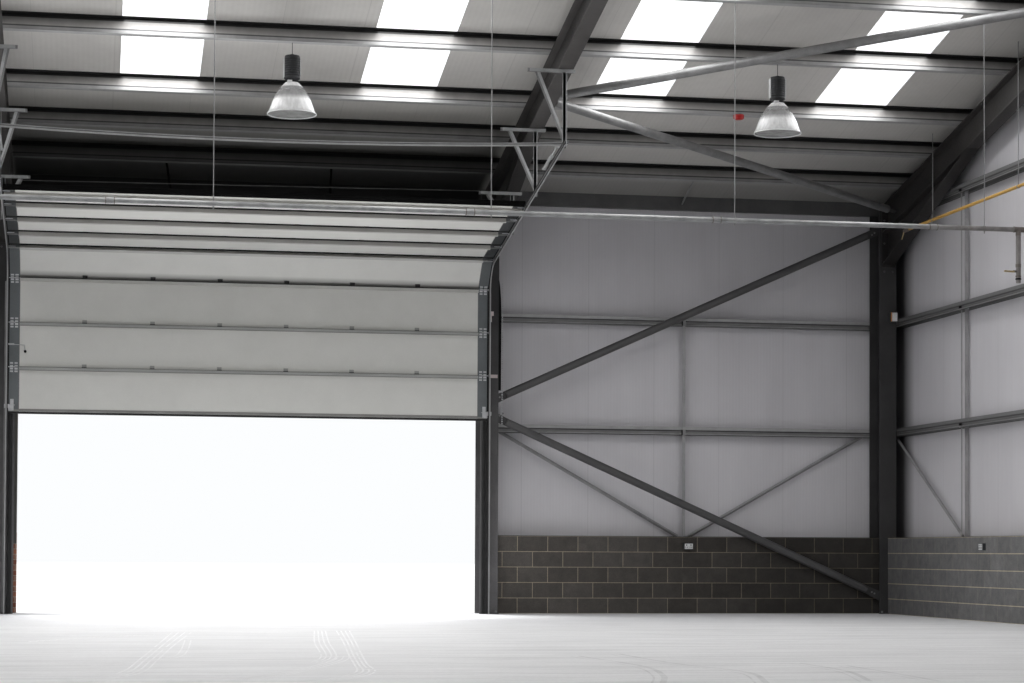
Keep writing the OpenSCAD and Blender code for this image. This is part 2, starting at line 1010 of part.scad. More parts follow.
module roof_bracing() {
    color([0.55, 0.57, 0.58])
        both_sides()
            both_ends()
                for (k = [0:zig_n - 1])
                    rod(along(zig(k), zig(k + 1), cleat_l), along(zig(k + 1), zig(k), cleat_l),
                        roof_brace_d, 13);
}

// Cleat from a rafter web to the end of a roof brace
module cleat(p, q) {
    e = along(p, q, cleat_l);
    d = (q - p) / norm(q - p);
    s = sign(d[0]);
    h = gusset_w / 2;
    translate([0, 0, p[2]])
        multmatrix([[1, 0, 0, 0], [0, 1, 0, 0], [0, t, 1, -t * p[1]], [0, 0, 0, 1]])
            linear_extrude(height = gusset_t, center = true)
                polygon([
                    [p[0] + s * web_t / 2, p[1] + h],
                    [p[0] + s * web_t / 2, p[1] - h],
                    [e[0] + s * d[1] * h, e[1] - s * d[0] * h],
                    [e[0] - s * d[1] * h, e[1] + s * d[0] * h]
                ]);
}

// Light ties between the rails, and from the lowest rail to the foot of the wall
tie_w = 45;
tie_d = 98;
strut_d = 52;
strut_end = 95;
foot_out = 85;

// Ties of one bay of width w, drawn about its middle, up to rail n, with a
// diagonal towards each of the given sides
module tie_set(w, n, sides) {
    z0 = dado_top + cill_t;
    z1 = fl + rail_z;
    for (i = [0:n]) {
        lo = i == 0 ? z0 : z1 + (i - 1) * rail_step + rail_h;
        translate([0, 0, lo])
            linear_extrude(height = z1 + i * rail_step + rail_h - sheet_t - lo)
                polygon([
                    [-tie_w / 2, tie_d / 2],
                    [-tie_w / 2, tie_d / 2 - sheet_t],
                    [tie_w / 2 - sheet_t, tie_d / 2 - sheet_t],
                    [tie_w / 2 - sheet_t, -tie_d / 2],
                    [tie_w / 2, -tie_d / 2],
                    [tie_w / 2, tie_d / 2]
                ]);
    }
    run = w / 2 - strut_end - foot_out;
    rise = z1 + rail_h - z0;
    drop = strut_d / 2 * run / norm([run, rise]);
    for (s = sides)
        rod([s * foot_out, 0, z0], [s * (foot_out + run), 0, z0 + rise - sheet_t - drop], strut_d, 4);
}

module rail_ties() {
    color([0.52, 0.54, 0.56]) {
        both_ends()
            both_sides()
                translate([(grid[2] + gx) / 2, -wall_half - rail_d / 2, 0])
                    tie_set(end_bay, rail_n - 1, [-1, 1]);
        translate([0, wall_half + rail_d / 2, 0])
            tie_set(door_bay, rail_n - 1, [-1, 1]);
        step = span / (post_n + 1);
        both_ends()
            both_sides()
                for (i = [0:(post_n - 1) / 2])
                    translate([gab_rail + rail_d / 2, -wall_half + (i + 0.5) * step, 0])
                        rotate(90)
                            tie_set(step, rail_n, [-1]);
    }
}

// Angles beside the upright tracks, hangers from the rafters and haunches, plates
// that hold the shaft, and the bar across the rear ends of the tracks
hang_t = 5;
hang_w = 40;
hang_long = [570, 570, 570];
hang_short = [380, 450, 455];

function run_z(y) = let (y0 = path_y + bend_r * (1 - cos(bend_a)))
    fl + bend_z + bend_r * sin(bend_a) + (y - y0) * tan(track_pitch);
function haunch_under(y) = let (y0 = col_in - plate_t, y1 = col_in - haunch_l)
    fl + haunch_z + (y0 - y) / (y0 - y1) * (under_at(y1) - fl - haunch_z);

// Hanger at distance y, its upper bar of length l fixed under the steel at height top
module hanger(y, top, l) {
    xt = leaf_w / 2 + 5 + track_w;
    x1 = max((door_bay + raf_w) / 2, xt + hang_w);
    z0 = run_z(y) - track_d / 2 - roll_off;
    translate([0, y, 0]) {
        box([x1 - l, -hang_w / 2, top - hang_w], [x1, hang_w / 2, top - hang_w + hang_t]);
        box([x1 - l, hang_w / 2 - hang_t, top - hang_w], [x1, hang_w / 2, top]);
        box([xt, -hang_w / 2, z0], [xt + hang_t, hang_w / 2, top - hang_w + 1]);
        rotate([90, 0, 0])
            linear_extrude(height = hang_t, center = true)
                polygon([
                    [x1 - l + 90, top - hang_w + 1],
                    [x1 - l + 130, top - hang_w + 1],
                    [xt + 1, z0 + 100],
                    [xt + 1, z0 + 40]
                ]);
    }
}

hang_far = 5710;
hang_mid = 3860;
hang_near = 2210;

module hangers(l) {
    e = wall_half - hang_w / 2 + hang_t;
    hanger(-wall_half + hang_far, under_at(e - hang_far), l[0]);
    hanger(-wall_half + hang_mid, under_at(e - hang_mid), l[1]);
    hanger(-wall_half + hang_near, haunch_under(e - hang_near), l[2]);
}

module track_supports() {
    xa = leaf_w / 2 + 5 + track_w;
    xb = (door_bay - raf_w) / 2;
    color([0.66, 0.67, 0.68]) {
        hangers(hang_short);
        mirror([1, 0, 0])
            hangers(hang_long);
        both_ends() {
            box([xa, -col_in, fl], [xa + 5, path_y + roll_off, fl + bend_z]);
            box([xa + 4, -col_in, fl], [xa + 28, -col_in + 5, fl + bend_z]);
            difference() {
                box([xb - 8, -col_in + plate_t + 5, fl + haunch_z + 120],
                    [xb, -col_in + shaft_y + 60, fl + shaft_z + 60]);
                translate([xb - 9, -col_in + shaft_y, fl + shaft_z])
                    rotate([0, 90, 0])
                        cylinder(d = shaft_d, h = 10, $fn = 13);
            }
        }
        run_x(-leaf_w / 2 - 60, leaf_w / 2 + 60)
            path_band_end(track_end, 30, 34);
    }
}

// Suspended pipe with its rods, and the drop with a valve at one end
main_row = wall_half - 3 * purlin_near - 2 * purlin_far;
main_y = -hang_y(main_row);
rod_places = [435, 3567, 6500, 9710, 12820, 15925];
drop_l = 650;
drop_d = 60;
main_end = 635;
main_x = gx - main_end;

module service_pipe() {
    z = fl + pipe_z;
    color([0.62, 0.64, 0.65]) {
        rod([-main_x, main_y, z], [main_x, main_y, z], main_d, 13);
        translate([-main_x, main_y, z - drop_l])
            cylinder(d = drop_d, h = drop_l, $fn = 13);
    }
}

module pipe_rods() {
    top = hang_z(main_row, 12);
    color([0.50, 0.51, 0.52])
        for (x = rod_places)
            translate([-main_x + x, main_y, fl + pipe_z + main_d / 2])
                cylinder(d = 12, h = top - fl - pipe_z - main_d / 2, $fn = 6);
}

// Gas pipe along the left gable
gas_d = 60;
gas_z = 5555;
gas_start = 1140;
gas_stop = 7000;
gas_x = -gab_rail + post_d + gas_d / 2 + 0.2;

module gas_pipe() {
    z = fl + gas_z;
    color([0.78, 0.58, 0.18])
        rod([gas_x, -col_in + gas_start, z], [gas_x, -wall_half + gas_stop, z], gas_d, 13);
}

// High bay lamps
lamp_step = 6150;
lamp_shift = -125;
lamp_row = 3 * purlin_near + purlin_far;
bell_h = 395;
box_d = 190;
box_h = 330;

module lamp_places() {
    y0 = hang_y(wall_half - lamp_row);
    for (i = [-1:1], y = [-y0, y0])
        translate([lamp_shift + i * lamp_step, y, fl + lamp_z])
            children();
}

module lamp_bells() {
    r = lamp_d / 2;
    color([0.85, 0.87, 0.88, 0.5])
        lamp_places()
            rotate_extrude($fn = 13)
                polygon([
                    [r, 0],
                    [r * 0.89, bell_h * 0.13],
                    [r * 0.64, bell_h * 0.66],
                    [box_d * 0.42, bell_h],
                    [box_d * 0.42 - 6, bell_h],
                    [r * 0.64 - 7, bell_h * 0.66],
                    [r * 0.89 - 7, bell_h * 0.13],
                    [r - 7, 0]
                ]);
}

module lamp_housings() {
    top = hang_z(wall_half - lamp_row, 8) - fl - lamp_z;
    color([0.20, 0.21, 0.22])
        lamp_places()
            translate([0, 0, bell_h]) {
                cylinder(d = box_d, h = box_h, $fn = 13);
                cylinder(d = 8, h = top - bell_h, $fn = 6);
            }
}

// Sockets on the blocks, and a junction box on the left front corner column
socket_z = 990;
socket_h = 90;
socket_w = 140;
socket_y = 4160;
junction_z = 4350;
junction_h = 140;
junction_w = 100;

module wall_boxes() {
    z = fl + socket_z;
    x = (grid[2] + gx) / 2;
    h = socket_h / 2;
    w = socket_w / 2;
    color([0.75, 0.76, 0.76]) {
        both_ends()
            both_sides() {
                box([x - w, -dado_in, z - h], [x + w, -dado_in + h, z + h]);
                box([gx - h, -wall_half + socket_y - w, z - h], [gx, -wall_half + socket_y + w, z + h]);
            }
        box([-gx - col_w / 2 + 5, -col_in, fl + junction_z],
            [-gx - col_w / 2 + 5 + junction_w, -col_in + socket_w / 2, fl + junction_z + junction_h]);
    }
}

floor_slab();
long_wall_blocks();
gable_dado_blocks();
long_wall_bricks();
gable_dado_bricks();
dado_cills();
front_cladding();
back_cladding();
gable_cladding();
corner_flashings();
front_roof();
back_roof();
rooflights();
ridge_capping();
verge_flashings();
gutters();
downpipes();
frame_columns();
frame_rafters();
haunches();
end_plates();
wall_bracing();
brace_plates();
roof_bracing();
gable_posts();
purlins();
eaves_beams();
long_wall_rails();
gable_rails();
rail_ties();
door_frame();
door_sections();
door_stiles();
door_hinges();
door_rollers();
door_tracks();
track_supports();
door_seals();
door_shaft();
service_pipe();
pipe_rods();
gas_pipe();
lamp_bells();
lamp_housings();
wall_boxes();
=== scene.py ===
import math
import random
import bpy
from mathutils import Matrix, Vector


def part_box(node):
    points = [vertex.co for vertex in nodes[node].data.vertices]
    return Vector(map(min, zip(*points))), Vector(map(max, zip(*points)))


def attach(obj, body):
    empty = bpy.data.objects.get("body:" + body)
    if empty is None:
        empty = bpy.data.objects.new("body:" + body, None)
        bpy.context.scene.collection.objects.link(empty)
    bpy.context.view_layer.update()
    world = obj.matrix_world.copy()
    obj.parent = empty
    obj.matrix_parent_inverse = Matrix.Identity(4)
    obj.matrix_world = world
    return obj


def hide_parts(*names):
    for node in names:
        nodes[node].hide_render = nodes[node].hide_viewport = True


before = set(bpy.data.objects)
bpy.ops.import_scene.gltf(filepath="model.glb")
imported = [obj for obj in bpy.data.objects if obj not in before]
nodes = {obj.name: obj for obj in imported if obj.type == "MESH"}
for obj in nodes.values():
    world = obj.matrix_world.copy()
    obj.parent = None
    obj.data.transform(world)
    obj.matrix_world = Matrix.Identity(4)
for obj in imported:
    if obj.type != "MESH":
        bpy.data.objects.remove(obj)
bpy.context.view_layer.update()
scene = bpy.context.scene
random.seed(7)


def add_object(name, data):
    made = bpy.data.objects.new(name, data)
    scene.collection.objects.link(made)
    return made


def look_along(thing, direction, roll=0):
    """Turns a camera or a light to look in a direction."""
    turn = Matrix.Rotation(roll, 3, "Z").to_quaternion()
    thing.rotation_mode = "QUATERNION"
    thing.rotation_quaternion = direction.to_track_quat("-Z", "Y") @ turn


# Camera, in the hall and looking at the wall with the door
FOCAL_PX, CENTRE_ROW = 2297.8, 553
PHOTO_WIDTH, MIDDLE_ROW = 1024, 341.5
SENSOR, SHIFT = 36, 0.14
YAW, ROLL = math.radians(10.487), math.radians(0.287)
PITCH = math.atan((CENTRE_ROW - MIDDLE_ROW - SHIFT * PHOTO_WIDTH) / FOCAL_PX)
cam_data = bpy.data.cameras.new("camera")
cam = add_object("camera", cam_data)
scene.camera = cam
cam_data.sensor_width = SENSOR
cam_data.lens = FOCAL_PX * SENSOR / PHOTO_WIDTH
cam_data.shift_y = SHIFT
cam_data.clip_start, cam_data.clip_end = 0.1, 300
flat = math.cos(PITCH)
look_along(cam, Vector((-math.sin(YAW) * flat, -math.cos(YAW) * flat, math.sin(PITCH))), ROLL)
cam.location = (2.284, 15.054, 1.077)

# Sizes shared with the CAD part, in metres
WALL, FLOOR, DADO = 18, 0.2, 1.325
SLOPE = math.radians(12)
TAN12, COS12, SIN12 = math.tan(SLOPE), math.cos(SLOPE), math.sin(SLOPE)
ROOF_Z, PANEL, PURLIN = 6.393, 0.08, 0.2
COL_IN, COL_X, JAMB_X = 17.55, 9.443, 3.418
LEAF, OPEN_L, OPEN_R, OPEN_TOP = 3.367, -3.4, 3.25, 5.1
RAIL_Z, RAIL_STEP, RAIL_H = 2.84, 1.625, 0.12
BLOCK_FACE, GABLE_FACE, TIE_X = 17.715, 9.398, 6.4305
LAMP_Y = 12.835

# Materials by name
mats = {}


class Mat:
    """Principled material, with short calls for the nodes that this scene uses."""

    def __init__(self, name):
        self.material = bpy.data.materials.new(name)
        self.material.use_nodes = True
        self.tree = self.material.node_tree
        self.shader = self.tree.nodes["Principled BSDF"]
        self.place = self.node("ShaderNodeTexCoord").outputs["Object"]
        self.x, self.y, self.z = self.xyz(self.place)
        mats[name] = self

    def put(self, socket, value):
        if isinstance(value, bpy.types.NodeSocket):
            self.tree.links.new(value, socket)
        elif value is not None:
            socket.default_value = value

    def fill(self, node, values):
        """Sets inputs by name, with _ for each space."""
        for name, value in values.items():
            self.put(node.inputs[name.replace("_", " ")], value)

    def set(self, **values):
        self.fill(self.shader, values)

    def node(self, kind, **values):
        node = self.tree.nodes.new(kind)
        self.fill(node, values)
        return node

    def math(self, kind, a, b=None, c=None):
        node = self.node("ShaderNodeMath")
        node.operation = kind
        for i, value in enumerate((a, b, c)):
            self.put(node.inputs[i], value)
        return node.outputs[0]

    def add(self, a, b):
        return self.math("ADD", a, b)

    def minus(self, a, b):
        return self.math("SUBTRACT", a, b)

    def times(self, a, b):
        return self.math("MULTIPLY", a, b)

    def over(self, a, b):
        return self.math("DIVIDE", a, b)

    def size(self, a):
        return self.math("ABSOLUTE", a)

    def xyz(self, vector):
        return tuple(self.node("ShaderNodeSeparateXYZ", Vector=vector).outputs)

    def from_middle(self, a):
        """Distance from the middle of each whole step of a."""
        return self.size(self.minus(self.math("FRACT", a), 0.5))

    def facing_x(self):
        """How far a face looks along X, either way."""
        return self.size(self.xyz(self.node("ShaderNodeNewGeometry").outputs["True Normal"])[0])

    def vec(self, x, y, z):
        return self.node("ShaderNodeCombineXYZ", X=x, Y=y, Z=z).outputs[0]

    def noise(self, scale, detail=4, rough=0.55, stretch=None):
        place = self.place
        if stretch:
            place = self.node("ShaderNodeMapping", Vector=place, Scale=stretch).outputs[0]
        node = self.node("ShaderNodeTexNoise", Vector=place, Scale=scale, Detail=detail, Roughness=rough)
        return node.outputs["Fac"]

    def ramp(self, share, *stops):
        node = self.node("ShaderNodeValToRGB")
        self.put(node.inputs[0], share)
        elements = node.color_ramp.elements
        while len(elements) < len(stops):
            elements.new(0.5)
        for element, (position, colour) in zip(elements, stops):
            element.position = position
            element.color = (*colour, 1)
        return node.outputs[0]

    def greys(self, share, stops):
        return self.ramp(share, *((at, grey(v)) for at, v in stops))

    def tones(self, noise, dark, light):
        return self.ramp(noise, (0.3, dark), (0.7, light))

    def span(self, value, start, end, low=0, high=1):
        """Goes from low to high while the value goes from start to end, and stays there beyond."""
        return self.node("ShaderNodeMapRange", Value=value, From_Min=start, From_Max=end,
                         To_Min=low, To_Max=high).outputs[0]

    def mix(self, share, a, b, mode="MIX"):
        node = self.node("ShaderNodeMix")
        node.data_type = "RGBA"
        node.blend_type = mode
        self.put(node.inputs["Factor"], share)
        for socket, value in ((node.inputs[6], a), (node.inputs[7], b)):
            self.put(socket, (*value, 1) if isinstance(value, tuple) else value)
        return node.outputs[2]

    def shade(self, colour, by):
        """The colour multiplied by another."""
        return self.mix(1, colour, by, "MULTIPLY")

    def dim(self, colour, factor):
        """The colour multiplied by a number."""
        return self.shade(colour, self.vec(factor, factor, factor))

    def bump(self, height, strength, distance, normal=None):
        return self.node("ShaderNodeBump", Strength=strength, Distance=distance, Height=height,
                         Normal=normal).outputs[0]


def grey(v, warm=0):
    return (v * (1 + warm), v, v * (1 - warm))


def below_roof(m):
    """Depth below the underside of the roof panels, square to the slope."""
    plane = m.math("MULTIPLY_ADD", m.size(m.y), -TAN12, ROOF_Z + TAN12 * WALL)
    return m.times(m.minus(plane, m.z), COS12)


def eaves_shade(m, colour, low, over_door):
    """Darker towards the eaves and the gables, and darkest in the space above the raised door."""
    across, along = m.size(m.x), m.size(m.y)
    slope = m.times(m.span(along, 14.6, 17.6, 1, low), m.span(along, 17.15, 17.5, 1, 0.64))
    deep = m.times(m.span(across, 3.3, 3.42, 1, 0), m.span(m.times(m.y, -1), 15.1, 17))
    door = m.math("MULTIPLY_ADD", deep, over_door - 1, 1)
    return m.dim(colour, m.times(m.times(slope, door), m.span(across, 7.8, 9.7, 1, 0.74)))


def coated(name, dark, light, rough, metal=0, patch=3, grit=60, spec=0.5, painted_shading=None):
    """Painted or coated metal: soft patches of two tones, fine grit, and painted light and shade that may
    follow the place.
    """
    m = Mat(name)
    patches, fine = m.noise(patch, 5, 0.6), m.noise(grit, 3, 0.6)
    blend = m.add(m.times(patches, 0.7), m.times(fine, 0.3))
    colour = m.ramp(blend, (0.32, dark), (0.68, light))
    m.set(Base_Color=m.dim(colour, painted_shading(m)) if painted_shading else colour, Metallic=metal, Specular_IOR_Level=spec)
    m.set(Roughness=m.span(fine, 0.3, 0.7, rough - 0.06, rough + 0.06), Normal=m.bump(fine, 0.35, 0.0005))


def masonry(name, axis, width, row, shift, tones, mortar, bed=None, painted_light_at=None):
    """Blocks or bricks in courses, on a wall that runs along the axis."""
    m = Mat(name)
    along, up = m.x if axis == "x" else m.y, m.minus(m.z, FLOOR)
    courses = m.node("ShaderNodeTexBrick", Vector=m.vec(m.add(along, shift), up, 0), Mortar=(*mortar, 1),
                     Color1=(*tones[0], 1), Color2=(*tones[1], 1), Scale=1, Mortar_Size=0.005,
                     Mortar_Smooth=0.25, Brick_Width=width, Row_Height=row)
    courses.offset = 0.5
    pores, patches = m.noise(90, 4, 0.65), m.noise(7, 5, 0.7)
    colour = courses.outputs["Color"]
    if bed:
        line = m.from_middle(m.add(m.over(up, row), 0.5))
        colour = m.mix(m.span(line, 0.018, 0.034, 1, 0), colour, bed)
    colour = m.shade(colour, m.tones(pores, grey(0.74), grey(1.16)))
    colour = m.shade(colour, m.tones(patches, (0.8, 0.8, 0.81), (1.18, 1.17, 1.15)))
    # Painted light and shade: the courses grow paler or darker along the wall between two distances, paler
    # near the door on the long walls and away from the corners on the gables.
    if painted_light_at:
        colour = m.dim(colour, m.span(m.size(along), *painted_light_at))
    m.set(Base_Color=colour, Roughness=0.92, Specular_IOR_Level=0.2)
    hollow = m.bump(m.minus(1, courses.outputs["Fac"]), 0.8, 0.004)
    m.set(Normal=m.bump(pores, 0.5, 0.002, hollow))


OUT_DARK, OUT_LIGHT = (0.27, 0.285, 0.28), (0.34, 0.355, 0.35)
OUTER_Y, OUTER_X = (18.18, 18.2), (9.76, 9.77)


def ribbed(name, where, pitch, dark, light, rough):
    """Lined panel of the wall, the gable or the roof: fine ribs inside, plain grey sheet outside."""
    m = Mat(name)
    along = m.y if where == "gable" else m.x
    rib = m.math("SINE", m.times(along, 2 * math.pi / pitch))
    joint = m.span(m.from_middle(along), 0.492, 0.498)
    soil = m.noise(1.3, 5, 0.6, (1, 1, 0.35))
    streak = m.noise(9, 3, 0.6, (1, 1, 0.05))
    mixed = m.add(m.times(soil, 0.75), m.times(streak, 0.25))
    colour = m.tones(m.math("MULTIPLY_ADD", rib, 0.035, mixed), dark, light)
    colour = m.mix(m.times(joint, 0.22), colour, tuple(0.45 * c for c in dark))
    if where == "roof":
        inside = m.span(below_roof(m), -0.03, -0.02)
        colour = m.mix(inside, colour, eaves_shade(m, colour, 0.62, 0.05))
        outside = m.minus(1, inside)
    else:
        # Painted shade: the wall lining darkens upwards towards the eaves.
        colour = m.dim(colour, m.span(m.z, 1.4, 6.2, 1.05, 0.89))
        outside = m.span(m.size(m.x), *OUTER_X) if where == "gable" else m.span(m.size(m.y), *OUTER_Y)
    if where == "gable":
        # Painted shade on the gable lining beside the corner columns.
        corner = m.dim(colour, m.span(m.size(m.y), 17.15, 17.62, 1, 0.1))
        colour = m.mix(m.span(m.size(m.x), 9.74, 9.75, 1, 0), colour, corner)
    colour = m.mix(outside, colour, m.tones(mixed, OUT_DARK, OUT_LIGHT))
    m.set(Base_Color=colour, Roughness=m.span(soil, 0.3, 0.7, rough - 0.05, rough + 0.07))
    m.set(Normal=m.bump(rib, 0.4, 0.0006))


def rail_painted_shading(name, stops, corner=False):
    """Zinc coated rail whose grey follows its profile as painted shade and highlights, the same on each rail
    up the wall; with corner set, painted shade darkens it towards the corners.
    """
    m = Mat(name)
    height = m.times(m.math("FRACT", m.over(m.minus(m.z, RAIL_Z), RAIL_STEP)), RAIL_STEP)
    spots = m.noise(7, 4, 0.6)
    colour = m.greys(m.over(height, RAIL_H), stops)
    colour = m.shade(colour, m.tones(spots, grey(0.86), grey(1.1)))
    if corner:
        # Painted shade towards the corners.
        colour = m.dim(colour, m.span(m.size(m.y), 15.9, 17.5, 1, 0.5))
    m.set(Base_Color=colour, Roughness=m.span(spots, 0.3, 0.7, 0.42, 0.55), Metallic=0.35)


def floor_colour(m):
    """Power-floated slab: cloudy streaks along X, even by the door, with painted light that makes it paler at
    the picture's left.
    """
    clouds = m.noise(1, 6, 0.62, (0.9, 3.2, 1))
    lines = m.noise(1, 5, 0.6, (0.35, 9, 1))
    grit = m.noise(38, 3, 0.6)
    tones = ((0.34, (0.62, 0.62, 0.625)), (0.5, (0.76, 0.76, 0.765)), (0.66, (0.85, 0.85, 0.855)))
    slab = m.ramp(m.add(m.times(clouds, 0.45), m.times(lines, 0.55)), *tones)
    near = m.span(m.times(m.y, -1), 11, 16.8)
    colour = m.mix(near, slab, (0.78, 0.78, 0.8))
    colour = m.shade(colour, m.tones(grit, grey(0.93), grey(1.04)))
    # Painted light: paler towards +X, the picture's left, except by the door.
    left = m.times(m.span(m.x, -2, 1.5, -0.015, 0.11), m.minus(1, near))
    return m.dim(colour, m.add(left, 1)), clouds, grit


def tyre_finish(name, over, mode, strength):
    """Worn tyre mark: the slab's own colour with more or less of another over it."""
    m = Mat(name)
    wear = m.span(m.noise(4, 5, 0.65, (1, 0.5, 1)), 0.34, 0.6, strength * 0.2, strength)
    m.set(Base_Color=m.mix(wear, floor_colour(m)[0], over, mode), Roughness=0.75)


# Painted light and shade that follow the place
def column_painted_light(m):
    """Painted light: lit from below beside the door, and an even painted shade at the corners."""
    corner = m.span(m.size(m.x), 4, 4.2)
    return m.add(m.times(corner, 0.66), m.times(m.minus(1, corner), m.span(m.z, 0.8, 4.6, 2.3, 0.55)))


def rafter_painted_shade(m):
    """Painted shade: darker at its foot, on the gables and on the webs beside the door bay."""
    across = m.size(m.x)
    web = m.math("MAXIMUM", m.span(m.facing_x(), 0.6, 0.8, 1, 0.42), m.span(across, 4, 4.2))
    rise = m.times(m.span(m.z, 6.2, 7.2, 0.55, 1.05), m.span(across, 4, 4.2, 1, 0.6))
    return m.times(rise, web)


def eaves_beam_painted_shade(m):
    # Painted shade: nearly black over the door bay, dim elsewhere.
    return m.span(m.size(m.x), 3.3, 3.42, 0.04, 0.46)


def stile_painted_shade(m):
    # Painted shade: the stiles darken in two steps as the leaf turns over the curve.
    return m.times(m.span(m.z, 4.85, 4.93, 1.08, 0.78), m.span(m.z, 5.18, 5.3, 1, 0.42))


def door_painted_shade(m):
    """Painted shade: the leaf is darker just above the joint where the curve begins."""
    return m.minus(1, m.times(m.span(m.z, 4.862, 4.868), m.span(m.z, 4.875, 4.965, 0.74, 0)))


def track_painted_light_and_shade(m):
    """Painted highlight and shade: bright lips away from the leaf, dark inside the channel."""
    lips = m.span(m.size(m.x), 3.382, 3.389, 0.12, 1)
    return m.times(m.span(m.facing_x(), 0.6, 0.8, 1, 0.1), lips)


BLOCK, BRICK = (0.45, 0.225), (0.225, 0.075)
DARK_BLOCKS, PALE_BLOCKS = ((0.062, 0.057, 0.052), (0.088, 0.082, 0.076)), (grey(0.125), grey(0.15))
RED_BRICKS = ((0.22, 0.075, 0.045), (0.36, 0.15, 0.09))
masonry("blocks_x", "x", *BLOCK, 0.055, DARK_BLOCKS, (0.31, 0.27, 0.205), painted_light_at=(3.6, 8, 1.62, 0.58))
masonry("blocks_y", "y", *BLOCK, 0.1, PALE_BLOCKS, (0.2, 0.19, 0.17), bed=(0.42, 0.37, 0.28),
        painted_light_at=(13.6, 17.6, 1.35, 1))
masonry("bricks_x", "x", *BRICK, 0, RED_BRICKS, (0.42, 0.38, 0.32))
masonry("bricks_y", "y", *BRICK, 0, RED_BRICKS, (0.42, 0.38, 0.32))
ribbed("wall_x", "wall", 0.048, (0.6, 0.588, 0.612), (0.68, 0.668, 0.694), 0.42)
ribbed("wall_y", "gable", 0.048, (0.6, 0.588, 0.612), (0.68, 0.668, 0.694), 0.42)
ribbed("roof", "roof", 0.065, (0.535, 0.52, 0.495), (0.615, 0.6, 0.572), 0.5)

# Painted and coated pieces: dark colour, light colour, roughness, metal, patches, grit, specular, painted
# light and shade by place
STEEL = ((0.05, 0.049, 0.05), (0.078, 0.076, 0.077), 0.5, 0, 2.5, 45)
COATED = dict(
    flashing=((0.05, 0.055, 0.06), (0.085, 0.09, 0.1), 0.42, 0, 1.5, 80),
    rainwater=((0.03, 0.033, 0.037), (0.055, 0.06, 0.065), 0.4, 0, 2, 90),
    wall_sheet=(OUT_DARK, OUT_LIGHT, 0.4, 0, 0.8, 12),
    roof_sheet=(OUT_DARK, OUT_LIGHT, 0.45, 0, 0.8, 12),
    steel=(*STEEL, 0.35),
    steel_column=(*STEEL, 0.3, column_painted_light),
    steel_rafter=((0.056, 0.052, 0.05), (0.088, 0.083, 0.08), 0.5, 0, 2.5, 45, 0.3, rafter_painted_shade),
    steel_brace=((0.062, 0.061, 0.062), (0.092, 0.09, 0.091), 0.42, 0, 2.5, 45),
    eaves=(grey(0.17), grey(0.27), 0.5, 0.3, 2.5, 45, 0.4, eaves_beam_painted_shade),
    stile=((0.098, 0.108, 0.112), (0.13, 0.142, 0.148), 0.45, 0, 2.5, 45, 0.4, stile_painted_shade),
    door=((0.615, 0.615, 0.585), (0.665, 0.665, 0.635), 0.5, 0, 2.5, 45, 0.4, door_painted_shade),
    track=(grey(0.3), grey(0.44), 0.42, 0.3, 2.5, 45, 0.4, track_painted_light_and_shade),
    galv=(grey(0.22), grey(0.36), 0.45, 0.4, 5, 70),
    galv_mid=(grey(0.17), grey(0.27), 0.45, 0.35, 6, 90),
    galv_bright=((0.4, 0.41, 0.42), (0.62, 0.63, 0.64), 0.4, 0.6, 8, 120),
    galv_dark=(grey(0.07), grey(0.11), 0.5, 0.3, 6, 90),
    galv_strap=((0.32, 0.33, 0.33), (0.5, 0.51, 0.51), 0.45, 0.4, 8, 120),
    tie_grey=((0.3, 0.3, 0.305), (0.44, 0.44, 0.445), 0.45, 0.35, 6, 90),
    door_frame=((0.045, 0.044, 0.038), (0.075, 0.073, 0.064), 0.5, 0, 3, 70),
    strip_grey=((0.16, 0.155, 0.145), (0.24, 0.235, 0.225), 0.5, 0, 2, 80),
    strip_mid=((0.29, 0.295, 0.285), (0.37, 0.375, 0.36), 0.5, 0, 2, 80),
    strip_pale=((0.42, 0.42, 0.4), (0.52, 0.52, 0.49), 0.5, 0, 2, 80),
    strut_side=((0.43, 0.42, 0.39), (0.53, 0.52, 0.49), 0.55, 0, 2, 80),
    line_grey=((0.18, 0.18, 0.17), (0.26, 0.26, 0.25), 0.6, 0, 2, 80),
    rubber=(grey(0.01), grey(0.024), 0.8, 0, 6, 110),
    black=(grey(0.006), grey(0.014), 0.8, 0, 4, 60, 0.1),
    head_dark=(grey(0.003), grey(0.007), 0.85, 0, 2, 40, 0),
    bolt=(grey(0.2), grey(0.36), 0.4, 0.7, 20, 200),
    gas=((0.46, 0.26, 0.05), (0.62, 0.38, 0.09), 0.45),
    dark_cast=((0.016, 0.017, 0.018), (0.036, 0.037, 0.04), 0.5, 0.2, 8, 110),
    cast_brown=((0.11, 0.095, 0.085), (0.19, 0.165, 0.15), 0.5, 0.2, 9, 110),
    lever_yellow=((0.28, 0.21, 0.1), (0.42, 0.33, 0.17), 0.45, 0, 9, 90),
    clip_pink=((0.5, 0.42, 0.42), (0.62, 0.55, 0.54), 0.5, 0, 9, 90),
    orange=((0.52, 0.2, 0.06), (0.66, 0.3, 0.1), 0.5, 0, 9, 90),
    red=((0.4, 0.01, 0.01), (0.55, 0.018, 0.016), 0.55, 0, 9, 90),
    box_white=((0.6, 0.61, 0.61), (0.74, 0.75, 0.75), 0.4, 0, 6, 90),
)
for name, values in COATED.items():
    coated(name, *values)

